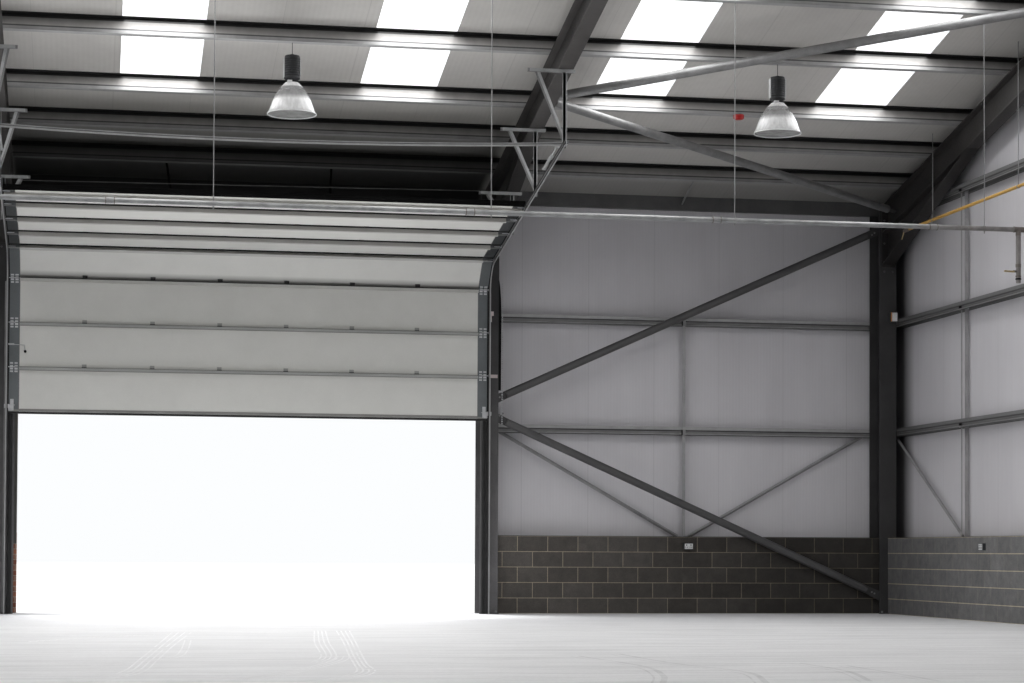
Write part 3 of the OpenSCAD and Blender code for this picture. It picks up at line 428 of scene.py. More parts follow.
# Painted shade and highlights by height in each rail's profile; the gable rails have darker stops and painted
# shade towards the corners.
rail_painted_shading("rail", ((0, 0.05), (0.045, 0.06), (0.06, 0.42), (0.14, 0.34), (0.24, 0.21), (0.46, 0.19),
                     (0.49, 0.055), (0.6, 0.06), (0.63, 0.36), (0.96, 0.42), (0.98, 0.22), (1.2, 0.22)))
rail_painted_shading("rail_gable", ((0, 0.04), (0.045, 0.05), (0.06, 0.26), (0.14, 0.22), (0.24, 0.16), (0.46, 0.17),
                           (0.49, 0.11), (0.6, 0.12), (0.63, 0.19), (0.96, 0.22), (0.98, 0.14), (1.2, 0.14)),
            corner=True)
tyre_finish("tyre_light", (0.99, 0.99, 0.995), "MIX", 1)
tyre_finish("tyre_dark", grey(0.82), "MULTIPLY", 0.95)

# Purlins, with painted shade and light along the profile: dark top flange, web that is paler downwards, and a
# pale lower flange
m = Mat("purlin")
profile = ((0.2, grey(0.02)), (0.23, grey(0.2, 0.03)), (0.68, grey(0.45, 0.03)), (0.7, grey(0.12)),
           (0.77, grey(0.13)), (0.8, grey(0.46)), (1, grey(0.4)))
colour = m.ramp(m.over(below_roof(m), PURLIN), (0, grey(0.016)), *profile)
spots = m.noise(6, 4, 0.6)
colour = m.shade(colour, m.tones(spots, grey(0.85), grey(1.1)))
m.set(Base_Color=eaves_shade(m, colour, 0.6, 0.22), Metallic=0.25)
m.set(Roughness=m.span(spots, 0.3, 0.7, 0.42, 0.55))

# Floor slab
m = Mat("concrete")
colour, clouds, grit = floor_colour(m)
m.set(Base_Color=colour, Roughness=m.span(clouds, 0.3, 0.7, 0.62, 0.76))
m.set(Normal=m.bump(grit, 0.25, 0.0006))

# Rooflights, which glow on the inside, where daylight comes through
m = Mat("rooflight")
soil = m.noise(2, 4, 0.6)
ribs = m.from_middle(m.times(m.x, 14))
glow = m.times(m.span(below_roof(m), -0.03, -0.02), m.span(ribs, 0.44, 0.5, 1.08, 0.99))
m.set(Base_Color=m.tones(soil, (0.66, 0.7, 0.72), (0.8, 0.83, 0.84)), Roughness=0.35)
m.set(Emission_Color=m.tones(soil, (0.97, 0.98, 1), grey(1)), Emission_Strength=glow)

# Galvanised pipe, browner towards its right end
m = Mat("pipe")
spots = m.noise(6, 5, 0.65)
plain = m.tones(spots, (0.21, 0.215, 0.215), (0.38, 0.385, 0.385))
brown = m.tones(spots, (0.16, 0.15, 0.145), (0.3, 0.285, 0.275))
m.set(Base_Color=m.mix(m.span(m.x, -7.2, -8.1), plain, brown), Metallic=0.4)
m.set(Roughness=m.span(spots, 0.3, 0.7, 0.36, 0.5))

# Clear fluted bells of the lamps, more open in their upper half
m = Mat("bell_fluted")
height = m.over(m.minus(m.z, 6.4), 0.4)
flutes = m.ramp(m.noise(26, 3, 0.55, (1, 1, 0.25)), (0.35, grey(0.82)), (0.65, grey(1.05)))
tones = ((0, 0.72), (0.1, 0.9), (0.42, 0.98), (0.56, 0.55), (0.8, 0.4), (0.86, 0.9), (1, 0.95))
cover = ((0, 0.55), (0.12, 0.7), (0.4, 0.86), (0.55, 0.52), (0.8, 0.45), (0.86, 1), (1, 1))
m.set(Base_Color=m.shade(m.greys(height, tones), flutes), Roughness=0.16)
m.set(Alpha=m.greys(height, cover))

# Lenses of the lamps
m = Mat("lens")
tint = m.noise(7, 4, 0.6)
colour = m.tones(tint, (0.1, 0.105, 0.1), (0.26, 0.27, 0.26))
m.set(Base_Color=colour, Roughness=0.35, Alpha=m.span(tint, 0.3, 0.7, 0.5, 0.66))

# Ground around the building, on the stage
m = Mat("ground")
colour = m.tones(m.noise(0.4), (0.74, 0.74, 0.73), (0.8, 0.8, 0.79))
m.set(Base_Color=colour, Roughness=0.9)

# Finishes of the CAD pieces
FINISHES = dict(
    concrete="floor_slab",
    blocks_x="long_wall_blocks",
    blocks_y="gable_dado_blocks",
    bricks_x="long_wall_bricks",
    bricks_y="gable_dado_bricks",
    flashing="dado_cills corner_flashings ridge_capping verge_flashings",
    wall_x="front_cladding back_cladding",
    wall_y="gable_cladding",
    roof="front_roof back_roof",
    rooflight="rooflights",
    rainwater="gutters downpipes wall_boxes",
    steel="brace_plates gable_posts",
    steel_column="frame_columns",
    steel_rafter="frame_rafters haunches end_plates",
    steel_brace="wall_bracing",
    galv_mid="roof_bracing track_supports door_shaft",
    purlin="purlins",
    eaves="eaves_beams",
    rail="long_wall_rails",
    rail_gable="gable_rails",
    tie_grey="rail_ties",
    door_frame="door_frame",
    door="door_sections",
    stile="door_stiles",
    galv_bright="door_hinges door_rollers",
    track="door_tracks",
    rubber="door_seals",
    pipe="service_pipe",
    galv="pipe_rods",
    gas="gas_pipe",
    bell_fluted="lamp_bells",
    dark_cast="lamp_housings",
)
for finish, names in FINISHES.items():
    for name in names.split():
        nodes[name].data.materials.clear()
        nodes[name].data.materials.append(mats[finish].material)


class Build:
    """Collects faces for one piece of the scene, with its finish and the CAD nodes that it replaces; its slot
    argument is not used.
    """

    every = []

    def __init__(self, name, finish, slot=None, *stands_for):
        self.name, self.finish, self.slot, self.stands_for = name, finish, slot, stands_for
        self.points, self.faces, self.smooth = [], [], []
        Build.every.append(self)

    def add(self, points, faces, smooth=False):
        first = len(self.points)
        self.points += [tuple(point) for point in points]
        self.faces += [tuple(i + first for i in face) for face in faces]
        self.smooth += [smooth] * len(faces)

    def box(self, a, b):
        """Box between two opposite corners, given in any order."""
        (x0, x1), (y0, y1), (z0, z1) = (sorted(pair) for pair in zip(a, b))
        base = ((x0, y0), (x1, y0), (x1, y1), (x0, y1))
        self.add([(x, y, z) for z in (z0, z1) for x, y in base],
                 [(0, 3, 2, 1), (4, 5, 6, 7), (0, 1, 5, 4), (1, 2, 6, 5), (2, 3, 7, 6), (3, 0, 4, 7)])

    def prism(self, ring_a, ring_b, smooth=False):
        n = len(ring_a)
        sides = [(i, (i + 1) % n, n + (i + 1) % n, n + i) for i in range(n)]
        self.add([*ring_a, *ring_b], sides, smooth)
        self.add(ring_a, [tuple(range(n))[::-1]])
        self.add(ring_b, [tuple(range(n))])

    def rod(self, start, end, radius, n=12):
        start, end = Vector(start), Vector(end)
        turn = (end - start).to_track_quat("Z", "Y")
        angles = [2 * math.pi * i / n for i in range(n)]
        ring = [turn @ Vector((radius * math.cos(a), radius * math.sin(a), 0)) for a in angles]
        self.prism([start + v for v in ring], [end + v for v in ring], n > 8)

    def spin(self, centre, profile, n=32, flute=0, flutes=0):
        """Profile of (radius, height) pairs turned about the upright axis through centre."""
        x, y, z = centre
        points, faces = [], []
        for radius, height in profile:
            for i in range(n):
                a = 2 * math.pi * i / n
                r = radius + flute * math.cos(flutes * a)
                points.append((x + r * math.cos(a), y + r * math.sin(a), z + height))
        for k in range(len(profile) - 1):
            for i in range(n):
                j = (i + 1) % n
                faces.append((k * n + i, k * n + j, (k + 1) * n + j, (k + 1) * n + i))
        self.add(points, faces, True)

    def part_of(self, mesh, polygons, move=tuple):
        """Copies polygons of a CAD mesh, with each of their points moved."""
        used = sorted({v for polygon in polygons for v in polygon.vertices})
        at = {v: k for k, v in enumerate(used)}
        self.add([move(mesh.vertices[v].co) for v in used],
                 [tuple(at[v] for v in polygon.vertices) for polygon in polygons])

    def make(self):
        mesh = bpy.data.meshes.new(self.name)
        mesh.from_pydata(self.points, [], self.faces)
        mesh.polygons.foreach_set("use_smooth", self.smooth)
        mesh.update()
        mesh.materials.append(mats[self.finish].material)
        piece = add_object(self.name, mesh)
        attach(piece, "root")
        if self.stands_for:
            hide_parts(*self.stands_for)


def islands(mesh):
    """Polygons of a mesh, grouped into its separate solids."""
    root = list(range(len(mesh.vertices)))

    def find(v):
        while root[v] != v:
            root[v] = root[root[v]]
            v = root[v]
        return v

    for edge in mesh.edges:
        root[find(edge.vertices[0])] = find(edge.vertices[1])
    groups = {}
    for polygon in mesh.polygons:
        groups.setdefault(find(polygon.vertices[0]), []).append(polygon)
    return groups.values()


# Sizes read from the CAD pieces
FRONT_OUT = -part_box("front_cladding")[0].y
GABLE_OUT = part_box("gable_cladding")[1].x
roof_lo, roof_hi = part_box("front_roof")
ROOF_X, EAVES_Y = roof_hi.x, -roof_lo.y
LIGHT_LO = -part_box("rooflights")[0].y
LIGHT_HI = min(abs(v.co.y) for v in nodes["rooflights"].data.vertices)
LIGHT_X = [-0.115 + (i - 2.5) * 3.071 for i in range(6)]


def roof_at(y):
    """Height of the underside of the roof panels."""
    return ROOF_Z + TAN12 * (WALL - abs(y))


# Raised ribs of the wall and roof sheets: half width and height of each corner
RIB_STEP = 0.3333
WALL_RIB = ((-0.045, -0.001), (-0.025, 0.018), (0.025, 0.018), (0.045, -0.001))
ROOF_RIB = ((-0.05, -0.002), (-0.022, 0.03), (0.022, 0.03), (0.05, -0.002))


def wall_ribs(name, across, side, plane, reach, door=None):
    """Ribs on one wall, from the dado up, and from above the door where one is given."""
    ribs = Build(name, "wall_sheet", "wall_panel")
    count = int(2 * reach / RIB_STEP)
    for i in range(count):
        u = -reach + (2 * reach - (count - 1) * RIB_STEP) / 2 + i * RIB_STEP
        foot = door[2] if door and door[0] < u < door[1] else DADO + 0.06
        rings = [], []
        for w, d in WALL_RIB:
            out = side * (plane + d)
            top = 6.32 if across == "x" else roof_at(u + w) - 0.16
            for ring, z in zip(rings, (foot, top)):
                ring.append((u + w, out, z) if across == "x" else (out, u + w, z))
        ribs.prism(*rings)


wall_ribs("front_wall_ribs", "x", -1, FRONT_OUT, 9.55, (OPEN_L - 0.09, OPEN_R + 0.09, OPEN_TOP + 0.09))
wall_ribs("back_wall_ribs", "x", 1, FRONT_OUT, 9.55)
wall_ribs("gable_ribs_right", "y", 1, GABLE_OUT, 17.95)
wall_ribs("gable_ribs_left", "y", -1, GABLE_OUT, 17.95)

sheet_ribs = Build("roof_sheet_ribs", "roof_sheet", "roof_panel")
clear_ribs = Build("rooflight_ribs", "rooflight", "rooflight")
EAVES_END, RIDGE_END = EAVES_Y - 0.01, 0.28
count = int(2 * ROOF_X / RIB_STEP)
for side in (-1, 1):
    up = Vector((0, side * SIN12, COS12))
    for i in range(count):
        u = -(count - 1) * RIB_STEP / 2 + i * RIB_STEP
        lengths = [(EAVES_END, RIDGE_END, sheet_ribs)]
        if any(abs(u - x) < 0.52 for x in LIGHT_X):
            lengths = [(EAVES_END, LIGHT_LO, sheet_ribs), (LIGHT_LO, LIGHT_HI, clear_ribs),
                       (LIGHT_HI, RIDGE_END, sheet_ribs)]
        for low, high, ribs in lengths:
            rings = []
            for y in (low, high):
                base = Vector((0, side * y, roof_at(y) + PANEL / COS12))
                rings.append([base + up * h + Vector((u + w, 0, 0)) for w, h in ROOF_RIB])
            ribs.prism(*rings)

# Path of the door leaf, as in the CAD part
BEND_R, BEND_Z, TRACK_RISE, SECT, LEAF_Z = 0.45, 4.62, math.radians(9.5), 0.62, 2.8
PATH_Y = -COL_IN + 0.06 + 0.04
BEND_A = math.pi / 2 - TRACK_RISE
ARC = BEND_R * BEND_A
EDGE = LEAF - 0.145


def path_at(s):
    """Y and Z of the leaf's inner face, s along its path from the floor."""
    turned = min(max((s - BEND_Z) / BEND_R, 0), BEND_A)
    past = max(s - BEND_Z - ARC, 0)
    y = PATH_Y + BEND_R * (1 - math.cos(turned)) + past * math.cos(TRACK_RISE)
    return Vector((y, FLOOR + min(s, BEND_Z) + BEND_R * math.sin(turned) + past * math.sin(TRACK_RISE)))


def on_section(build, i, a0, a1, d0, d1, x0=-EDGE, x1=EDGE):
    """Bar on section i, from a0 to a1 along it and d0 to d1 in from its inner face.

    A place below zero counts back from the section's upper end. Without x0 and x1 it lies between the stiles.
    """
    start, end = path_at(LEAF_Z + i * SECT), path_at(LEAF_Z + (i + 1) * SECT)
    length = (end - start).length
    along = (end - start) / length
    inward = Vector((along.y, -along.x))
    a0 = a0 if a0 >= 0 else length + a0
    a1 = a1 if a1 > 0 else length + a1
    corners = [start + along * a + inward * d for a, d in ((a0, d0), (a1, d0), (a1, d1), (a0, d1))]
    build.prism([(x0, q.x, q.y) for q in corners], [(x1, q.x, q.y) for q in corners])


# Struts, joints and hinges of the leaf. Joint 3 is where the curve begins.
HINGE_STEP, HALF_HINGE, CURVE_JOINT = 0.935, 0.034, 3
STRUT_A, STRUT_B, STRUT_D = -0.046, -0.005, 0.055
HINGE_LEAVES = ((-1, -0.072, -0.05), (-1, -0.036, -0.01), (0, 0.006, 0.026), (0, 0.044, 0.066))
strut = Build("door_struts", "strut_side", "door_steel")
pale = Build("door_strut_faces", "strip_pale", "door_steel")
dark = Build("door_joint_shade", "black", "seal_rubber")
line = Build("door_low_joint_lines", "line_grey", "door_steel")
lip = Build("door_edge_strips", "strip_grey", "door_steel")
plates = Build("door_hinge_leaves", "galv_bright", "galvanised", "door_hinges")
knuckles = Build("door_hinge_pins", "rubber", "shaft_steel")
caps = Build("door_roller_shafts", "galv_mid", "galvanised")
cover = Build("door_top_shade", "head_dark", "door_steel")
middle = Build("door_middle_hinges", "strip_mid", "door_steel")


def joint_lines(i):
    """Strut below joint i, its face and the lines of the joint, which are painted shade: grey lines under the
    low struts and on the low joints, and a black band above each joint from the curve up.
    """
    low = i < CURVE_JOINT
    on_section(strut, i - 1, STRUT_A, STRUT_B, 0, STRUT_D)
    on_section(middle if low else pale, i - 1, STRUT_A, STRUT_B, STRUT_D, STRUT_D + 0.001)
    if low:
        lower = STRUT_A - 0.004, STRUT_A + 0.008, STRUT_D - 0.004, STRUT_D + 0.002
        on_section(line, i - 1, *lower)
    width = 0.01 if i <= CURVE_JOINT else 0.06
    on_section(line if low else dark, i, 0, width, -0.001, 0.0035)


def middle_hinges(i):
    """Six hinges between the stiles, seen as plates on the low joints and as knuckles above."""
    start, tall, out = 0.055, 0.01, 0.012
    if i < CURVE_JOINT:
        start, tall, out = 0.004, 0.01, 0.006
    elif i == CURVE_JOINT:
        start, tall, out = 0.036, 0.034, 0.02
    for k in range(6):
        x = (k - 2.5) * HINGE_STEP
        on_section(knuckles, i, start, start + tall, 0, out, x - HALF_HINGE, x + HALF_HINGE)
        if i < CURVE_JOINT:
            on_section(middle, i, 0.014, 0.052, 0, 0.004, x - 0.032, x + 0.032)


def end_hinges(i, side):
    """Hinge leaves on the stile, or the dark hinge and its roller shaft past the curve."""
    if i <= CURVE_JOINT:
        for off in (0.04, 0.102):
            x = side * (LEAF - off)
            for above, start, end in HINGE_LEAVES:
                on_section(plates, i + above, start, end, 0.001, 0.007, x - 0.021, x + 0.021)
    else:
        x0, x1 = sorted((side * EDGE, side * (LEAF + 0.006)))
        on_section(knuckles, i, 0, 0.05, -0.001, 0.004, x0, x1)
        on_section(caps, i - 1, -0.03, -0.018, 0.03, 0.042, x0, x1)


def bottom_bracket(side):
    """Bracket and roller plate at the lower corner of the leaf."""
    x, corner = side * (LEAF - 0.05), side * (LEAF - 0.0275)
    on_section(plates, 0, 0.015, 0.175, 0, 0.007, x - 0.024, x + 0.024)
    on_section(plates, 0, 0.012, 0.085, 0.002, 0.01, corner - 0.0275, corner + 0.0275)
    x, z = side * 3.386, path_at(LEAF_Z)[1] + 0.075
    plates.box((x - 0.036, PATH_Y - 0.005, z - 0.028), (x + 0.036, PATH_Y + 0.022, z + 0.028))


for i in range(1, 8):
    joint_lines(i)
    middle_hinges(i)
    for side in (-1, 1):
        end_hinges(i, side)
on_section(line, 0, 0.004, 0.03, -0.001, 0.004, -LEAF + 0.002, LEAF - 0.002)
on_section(lip, 0, 0.03, 0.04, -0.001, 0.005)
on_section(strut, 7, 0.35, 0.41, 0, STRUT_D, -LEAF + 0.002, LEAF - 0.002)
on_section(cover, 7, 0.515, SECT + 0.002, -0.0415, 0.002, -LEAF - 0.001, LEAF + 0.001)
for side in (-1, 1):
    bottom_bracket(side)
    for i in range(8):
        # Black strips down both edges of each section: painted shade in the gaps at the leaf's sides.
        on_section(dark, i, 0.004, -0.004, 0, 0.003, side * LEAF - 0.006, side * LEAF + 0.006)
        on_section(lip, i, 0.004, -0.004, 0, 0.0015, side * EDGE - 0.003, side * EDGE + 0.003)

# Latch on the left stile: a plate, a bent lever and its knob
KNOB_X, KNOB_Z = 3.143, 3.836
knob = Build("door_knob", "black", "seal_rubber")
latch = Build("door_latch", "galv_strap", "galvanised")
knob.rod((KNOB_X, PATH_Y, KNOB_Z), (KNOB_X, PATH_Y + 0.05, KNOB_Z), 0.019)
bend = (KNOB_X + 0.01, PATH_Y + 0.03, KNOB_Z + 0.088)
latch.box((KNOB_X + 0.15, PATH_Y, KNOB_Z + 0.088), (KNOB_X + 0.238, PATH_Y + 0.008, KNOB_Z + 0.112))
latch.rod((KNOB_X + 0.152, PATH_Y + 0.01, KNOB_Z + 0.096), bend, 0.005, 8)
latch.rod(bend, (KNOB_X, PATH_Y + 0.04, KNOB_Z), 0.005, 8)

# Hangers of the tracks as the CAD part has them, apart from the straight bar between their rear ends
hangers = Build("track_hangers", "galv_mid", "galvanised", "track_supports")
flanges = Build("track_hanger_flanges", "galv_strap", "galvanised")
mesh = nodes["track_supports"].data
for polygons in islands(mesh):
    corners = [mesh.vertices[v].co for polygon in polygons for v in polygon.vertices]
    lo, hi = ([pick(c[axis] for c in corners) for axis in range(3)] for pick in (min, max))
    if hi[0] - lo[0] > 6 and hi[1] > -13.5:
        continue
    if hi[2] - lo[2] > 0.3 and lo[2] > 4 and hi[1] - lo[1] < 0.05:
        out = 1 if lo[0] > 0 else -1
        if hi[0] - lo[0] < 0.01:
            flanges.box((lo[0] - out * 0.024, hi[1] - 0.005, lo[2]), (lo[0] + out * 0.016, hi[1], hi[2]))
        else:
            flanges.part_of(mesh, polygons, lambda co: co + Vector((out * 0.026, 0.004, 0)))
    hangers.part_of(mesh, polygons)

# Bar between the rear ends of the tracks, which sags: two pale flanges and a groove painted dark as the shade
# inside it
BAR_Y, BAR_L, BAR_R, SAG, BAR_STEPS = -12.4, Vector((3.47, 6.07)), Vector((-3.475, 6.095)), 0.082, 24
bar = Build("track_bar", "galv", "galvanised")
groove = Build("track_bar_groove", "galv_dark", "galvanised")
BAR_PROFILE = ((bar, 0.01, -0.022, -0.003), (groove, 0.004, -0.003, 0.009), (bar, 0.01, 0.009, 0.02))


def on_bar(share):
    q = BAR_L.lerp(BAR_R, share)
    return q.x, q.y - SAG * 4 * share * (1 - share)


for k in range(BAR_STEPS):
    ends = [on_bar(k / BAR_STEPS), on_bar((k + 1) / BAR_STEPS)]
    for build, y1, z0, z1 in BAR_PROFILE:
        corners = (-0.01, z0), (y1, z0), (y1, z1), (-0.01, z1)
        build.prism(*[[(x, BAR_Y + dy, z + dz) for dy, dz in corners] for x, z in ends])

# Ties between the rails; those on the gables are slimmer
ties = Build("rail_ties_slim", "tie_grey", "galvanised", "rail_ties")
mesh = nodes["rail_ties"].data
for polygons in islands(mesh):
    xs = [mesh.vertices[v].co.x for polygon in polygons for v in polygon.vertices]
    outer = max(xs, key=abs)
    slim = 0.62 if min(abs(x) for x in xs) > 9.5 else 1
    ties.part_of(mesh, polygons, lambda co: (outer + (co.x - outer) * slim, co.y, co.z))

# Spring bumpers at the rear ends of the tracks
bumpers = Build("track_bumpers", "galv_strap", "galvanised")
for side in (-1, 1):
    start, end = (Vector((side * 3.345, q.x, q.y + 0.02)) for q in (path_at(9.12), path_at(9.92)))
    bumpers.rod(start, end, 0.009, 10)
    for k in range(12):
        coil = start.lerp(end, 0.06 + k * 0.05)
        bumpers.rod(coil, coil + (end - start).normalized() * 0.016, 0.02)
    for place, out in ((start, 0.03), (end, 0.04)):
        bumpers.rod(place + Vector((side * out, 0, 0)), place + Vector((-side * 0.02, 0, 0)), 0.014, 8)

# Dark sheet above the door, between the columns, painted near black as the shade there, and a rod in front of
# it
head_shade_sheet = Build("door_head_shade_sheet", "head_dark", "door_frame")
head_rod = Build("head_rod", "galv_mid", "galvanised")
head_shade_sheet.box((-3.28, -18.139, OPEN_TOP + 0.02), (3.28, -18.134, 6.37))
head_rod.rod((3.24, -17.45, 6.222), (-3.24, -17.45, 6.29), 0.007, 8)

# Lamps: profiles of radius and height above the rim, from the rim up
LAMP_Z, NECK, HOOK = 6.4, 0.385, 0.74
BELL = ((0.298, 0.012), (0.282, 0.035), (0.266, 0.075), (0.243, 0.14), (0.217, 0.205), (0.184, 0.265),
        (0.146, 0.32), (0.11, 0.36), (0.08, 0.392))
RIM = ((0.298, 0.014), (0.304, 0.008), (0.304, 0.002), (0.298, 0), (0.291, 0.004), (0.291, 0.012))
COLLAR = ((0.05, 0.372), (0.088, 0.372), (0.092, 0.352), (0.094, 0.345))
FIN = ((0.098, 0), (0.098, 0.018), (0.092, 0.02), (0.092, 0.026))
HOUSING = [(0, NECK), (0.05, NECK), (0.07, 0.392), (0.074, 0.425), (0.096, 0.436)]
for k in range(9):
    HOUSING += [(radius, 0.448 + k * 0.028 + height) for radius, height in FIN]
HOUSING += [(0.093, 0.705), (0.088, 0.722), (0.03, 0.727), (0.022, HOOK), (0, HOOK)]
LAMP_TOP = roof_at(LAMP_Y) - PURLIN * COS12 - 0.0325 * SIN12 - 0.004
bells = Build("lamp_bells_fluted", "bell_fluted", "lamp_bell", "lamp_bells")
bodies = Build("lamp_bodies", "dark_cast", "lamp_housing", "lamp_housings")
rims = Build("lamp_rims", "box_white", "lamp_bell")
lenses = Build("lamp_lenses", "lens", "lamp_bell")


def lamp(x, y):
    centre = (x, y, LAMP_Z)
    bells.spin(centre, BELL, 96, 0.0028, 32)
    rims.spin(centre, RIM, 48)
    bodies.spin(centre, HOUSING, 28)
    # White strips down the two sides of the body: painted highlights.
    for side in (-1, 1):
        edge = x + side * 0.1
        rims.box((edge - 0.006, y - 0.03, LAMP_Z + 0.455), (edge + 0.006, y + 0.03, LAMP_Z + 0.7))
    rims.spin(centre, COLLAR, 32)
    rims.box((x + 0.006, y + 0.02, LAMP_Z + 0.38), (x + 0.062, y + 0.085, LAMP_Z + 0.412))
    lenses.spin(centre, ((0, 0.01), (0.288, 0.01)), 48)
    bodies.rod((x, y, LAMP_Z + HOOK), (x, y, LAMP_TOP), 0.004, 8)


lamp_line = LAMP_Y - PURLIN * SIN12 + 0.0325 * COS12
for i in (-1, 0, 1):
    for y in (-lamp_line, lamp_line):
        lamp(-0.125 + i * 6.15, y)

# Bolts on the haunches and the brace plates, base plates let into the floor, and their nuts
haunch_bolts = Build("haunch_bolts", "steel_brace", "frame_steel")
brace_bolts = Build("brace_bolts", "bolt", "frame_steel")
base = Build("base_plates", "steel", "frame_steel")
nuts = Build("base_nuts", "bolt", "frame_steel")
BRACE_BOLTS = ((3.594, 3.335), (3.594, 3.068), (3.64, 3.3), (3.64, 3.1),
               (9.29, 5.9), (9.25, 5.87), (9.29, 0.5), (9.25, 0.52))
for x in (-COL_X, -JAMB_X, JAMB_X, COL_X):
    for side in (-1, 1):
        y = side * (COL_IN - 0.025)
        for z in (5.3, 5.44, 5.72, 5.9, 6.06):
            for dx in (-0.065, 0.065):
                haunch_bolts.rod((x + dx, y, z), (x + dx, y - side * 0.014, z), 0.016, 6)
        base.box((x - 0.14, side * 17.51, FLOOR), (x + 0.14, side * 17.549, FLOOR + 0.018))
        for dx in (-0.1, 0.1):
            nuts.rod((x + dx, side * 17.53, 0.218), (x + dx, side * 17.53, 0.246), 0.016, 6)
for side in (-1, 1):
    for sx in (-1, 1):
        y = side * (17.723 - 0.006)
        for x, z in BRACE_BOLTS:
            brace_bolts.rod((sx * x, y, z), (sx * x, y - side * 0.012, z), 0.014, 6)

# Alarm sounder under a purlin, on its bracket
sounder = Build("sounder", "red")
bracket = Build("sounder_bracket", "galv_mid", "galvanised")
top = Vector((-6.232, -14.44, 6.955))
for build, low, high, radius, n in ((sounder, 0.06, 0.012, 0.072, 24), (sounder, 0.072, 0.06, 0.056, 24),
                                    (bracket, 0.012, 0, 0.062, 20)):
    build.rod(top - Vector((0, 0, low)), top - Vector((0, 0, high)), radius, n)
bracket.rod(top, (top.x, top.y, roof_at(top.y) - 0.19), 0.008, 8)

# Couplings, rod clips, tee, drop and valve of the suspended pipe
MAIN_Y, MAIN_Z, MAIN_X = -11.17, 5.033, 8.808
couplings = Build("pipe_couplings", "pipe", "galvanised")
fittings = Build("pipe_valves", "cast_brown", "galvanised")
levers = Build("valve_levers", "lever_yellow", "gas_pipe")
nut = Build("valve_nut", "black", "galvanised")


def from_end(dx, dz, dy=0):
    """Place measured from the right end of the pipe."""
    return (-MAIN_X + dx, MAIN_Y + dy, MAIN_Z + dz)


for x in (MAIN_X - 0.62, 5.62, 2.06, -2.06, -5.02, -7.72):
    couplings.rod((x - 0.05, MAIN_Y, MAIN_Z), (x + 0.05, MAIN_Y, MAIN_Z), 0.037, 16)
    for side in (-1, 1):
        fittings.rod((x + side * 0.043, MAIN_Y, MAIN_Z), (x + side * 0.054, MAIN_Y, MAIN_Z), 0.043, 6)
for x in (-8.373, -5.241, -2.308, 0.902, 4.012, 7.117):
    couplings.rod((x - 0.012, MAIN_Y, MAIN_Z), (x + 0.012, MAIN_Y, MAIN_Z), 0.034, 16)
    couplings.rod((x, MAIN_Y, MAIN_Z - 0.06), (x, MAIN_Y, MAIN_Z - 0.03), 0.007, 8)
for start, end, radius, n in (
        ((-0.075, 0), (0.06, 0), 0.033, 18), ((0, -0.075), (0, 0), 0.033, 18),
        ((0.045, 0), (0.06, 0), 0.037, 18), ((0, -0.56), (0, -0.46), 0.03, 18),
        ((0, -0.58), (0, -0.56), 0.037, 6), ((0, -0.46), (0, -0.42), 0.036, 6),
        ((0, -0.51), (0.07, -0.51, 0.01), 0.014, 10)):
    fittings.rod(from_end(*start), from_end(*end), radius, n)
nut.rod(from_end(0, -0.612), from_end(0, -0.592), 0.035, 16)
LEVER = ((0.06, -0.525, 0), (0.19, -0.52, 0.01), (0.19, -0.502, 0.01), (0.06, -0.505, 0))
levers.prism(*[[from_end(dx, dz, dy + thick) for dx, dz, dy in LEVER] for thick in (0.03, 0)])

# Gas pipe along the gable, its end valve and hangers
GAS_X, GAS_Z = -9.289, 5.755
gas = Build("gas_pipe_round", "gas", "gas_pipe", "gas_pipe")
gas_hangers = Build("gas_hangers", "galv", "galvanised")
gas.rod((GAS_X, -16.4, GAS_Z), (GAS_X, -11, GAS_Z), 0.0215, 16)
fittings.rod((GAS_X, -16.41, GAS_Z), (GAS_X, -16.22, GAS_Z), 0.028, 16)
fittings.rod((GAS_X, -16.45, GAS_Z), (GAS_X, -16.36, GAS_Z), 0.02, 10)
levers.rod((GAS_X, -16.44, GAS_Z), (GAS_X + 0.036, -16.44, GAS_Z - 0.125), 0.009, 8)
for y in (-15.3, -12.3):
    gas_hangers.rod((GAS_X, y, GAS_Z), (GAS_X, y, roof_at(y) - 0.001), 0.006, 8)
    gas_hangers.rod((GAS_X, y - 0.012, GAS_Z), (GAS_X, y + 0.012, GAS_Z), 0.026, 16)

# Ties: plates that lap over the rails, and dark cleats beside them
laps = Build("tie_laps", "galv", "galvanised")
cleats = Build("tie_cleats", "black", "frame_steel")
for k in range(3):
    z = RAIL_Z + k * RAIL_STEP
    for side in (-1, 1):
        y0, y1 = side * 17.999, side * 17.994
        if k < 2:
            for x in (-TIE_X, TIE_X, 0) if side == 1 else (-TIE_X, TIE_X):
                laps.box((x - 0.0225, y0, z), (x + 0.0225, y1, z + 0.075))
                cleats.box((x + 0.0225, y0, z + 0.004), (x + 0.04, y1, z + 0.078))
                cleats.box((x - 0.035, y0, z + 0.062), (x - 0.0225, y1, z + 0.076))
        x0, x1 = side * 9.573, side * 9.567
        for i in range(6):
            y = -18 + (i + 0.5) * 6
            if z < roof_at(y) - 0.6:
                cleats.box((x0, y - 0.035, z + 0.028), (x1, y + 0.055, z + 0.06))
                laps.box((x0, y - 0.02, z), (x1, y + 0.02, z + 0.026))

# Sockets on the blocks: white plates with slots, and the junction box
plate = Build("socket_plates", "box_white", "wall_box")
slots = Build("socket_slots", "black", "wall_box")
SLOTS = ((-0.006, 0.006, 1.196, 1.216), (-0.018, -0.008, 1.168, 1.182), (0.008, 0.018, 1.168, 1.182))


def socket_box(build, across, at, d0, d1, u0, u1, z0, z1):
    """Box between d0 and d1 out of the wall and u0 and u1 along it, about the place at."""
    a, b = (d0, at + u0, z0), (d1, at + u1, z1)
    if across == "x":
        a, b = (a[1], a[0], a[2]), (b[1], b[0], b[2])
    build.box(a, b)


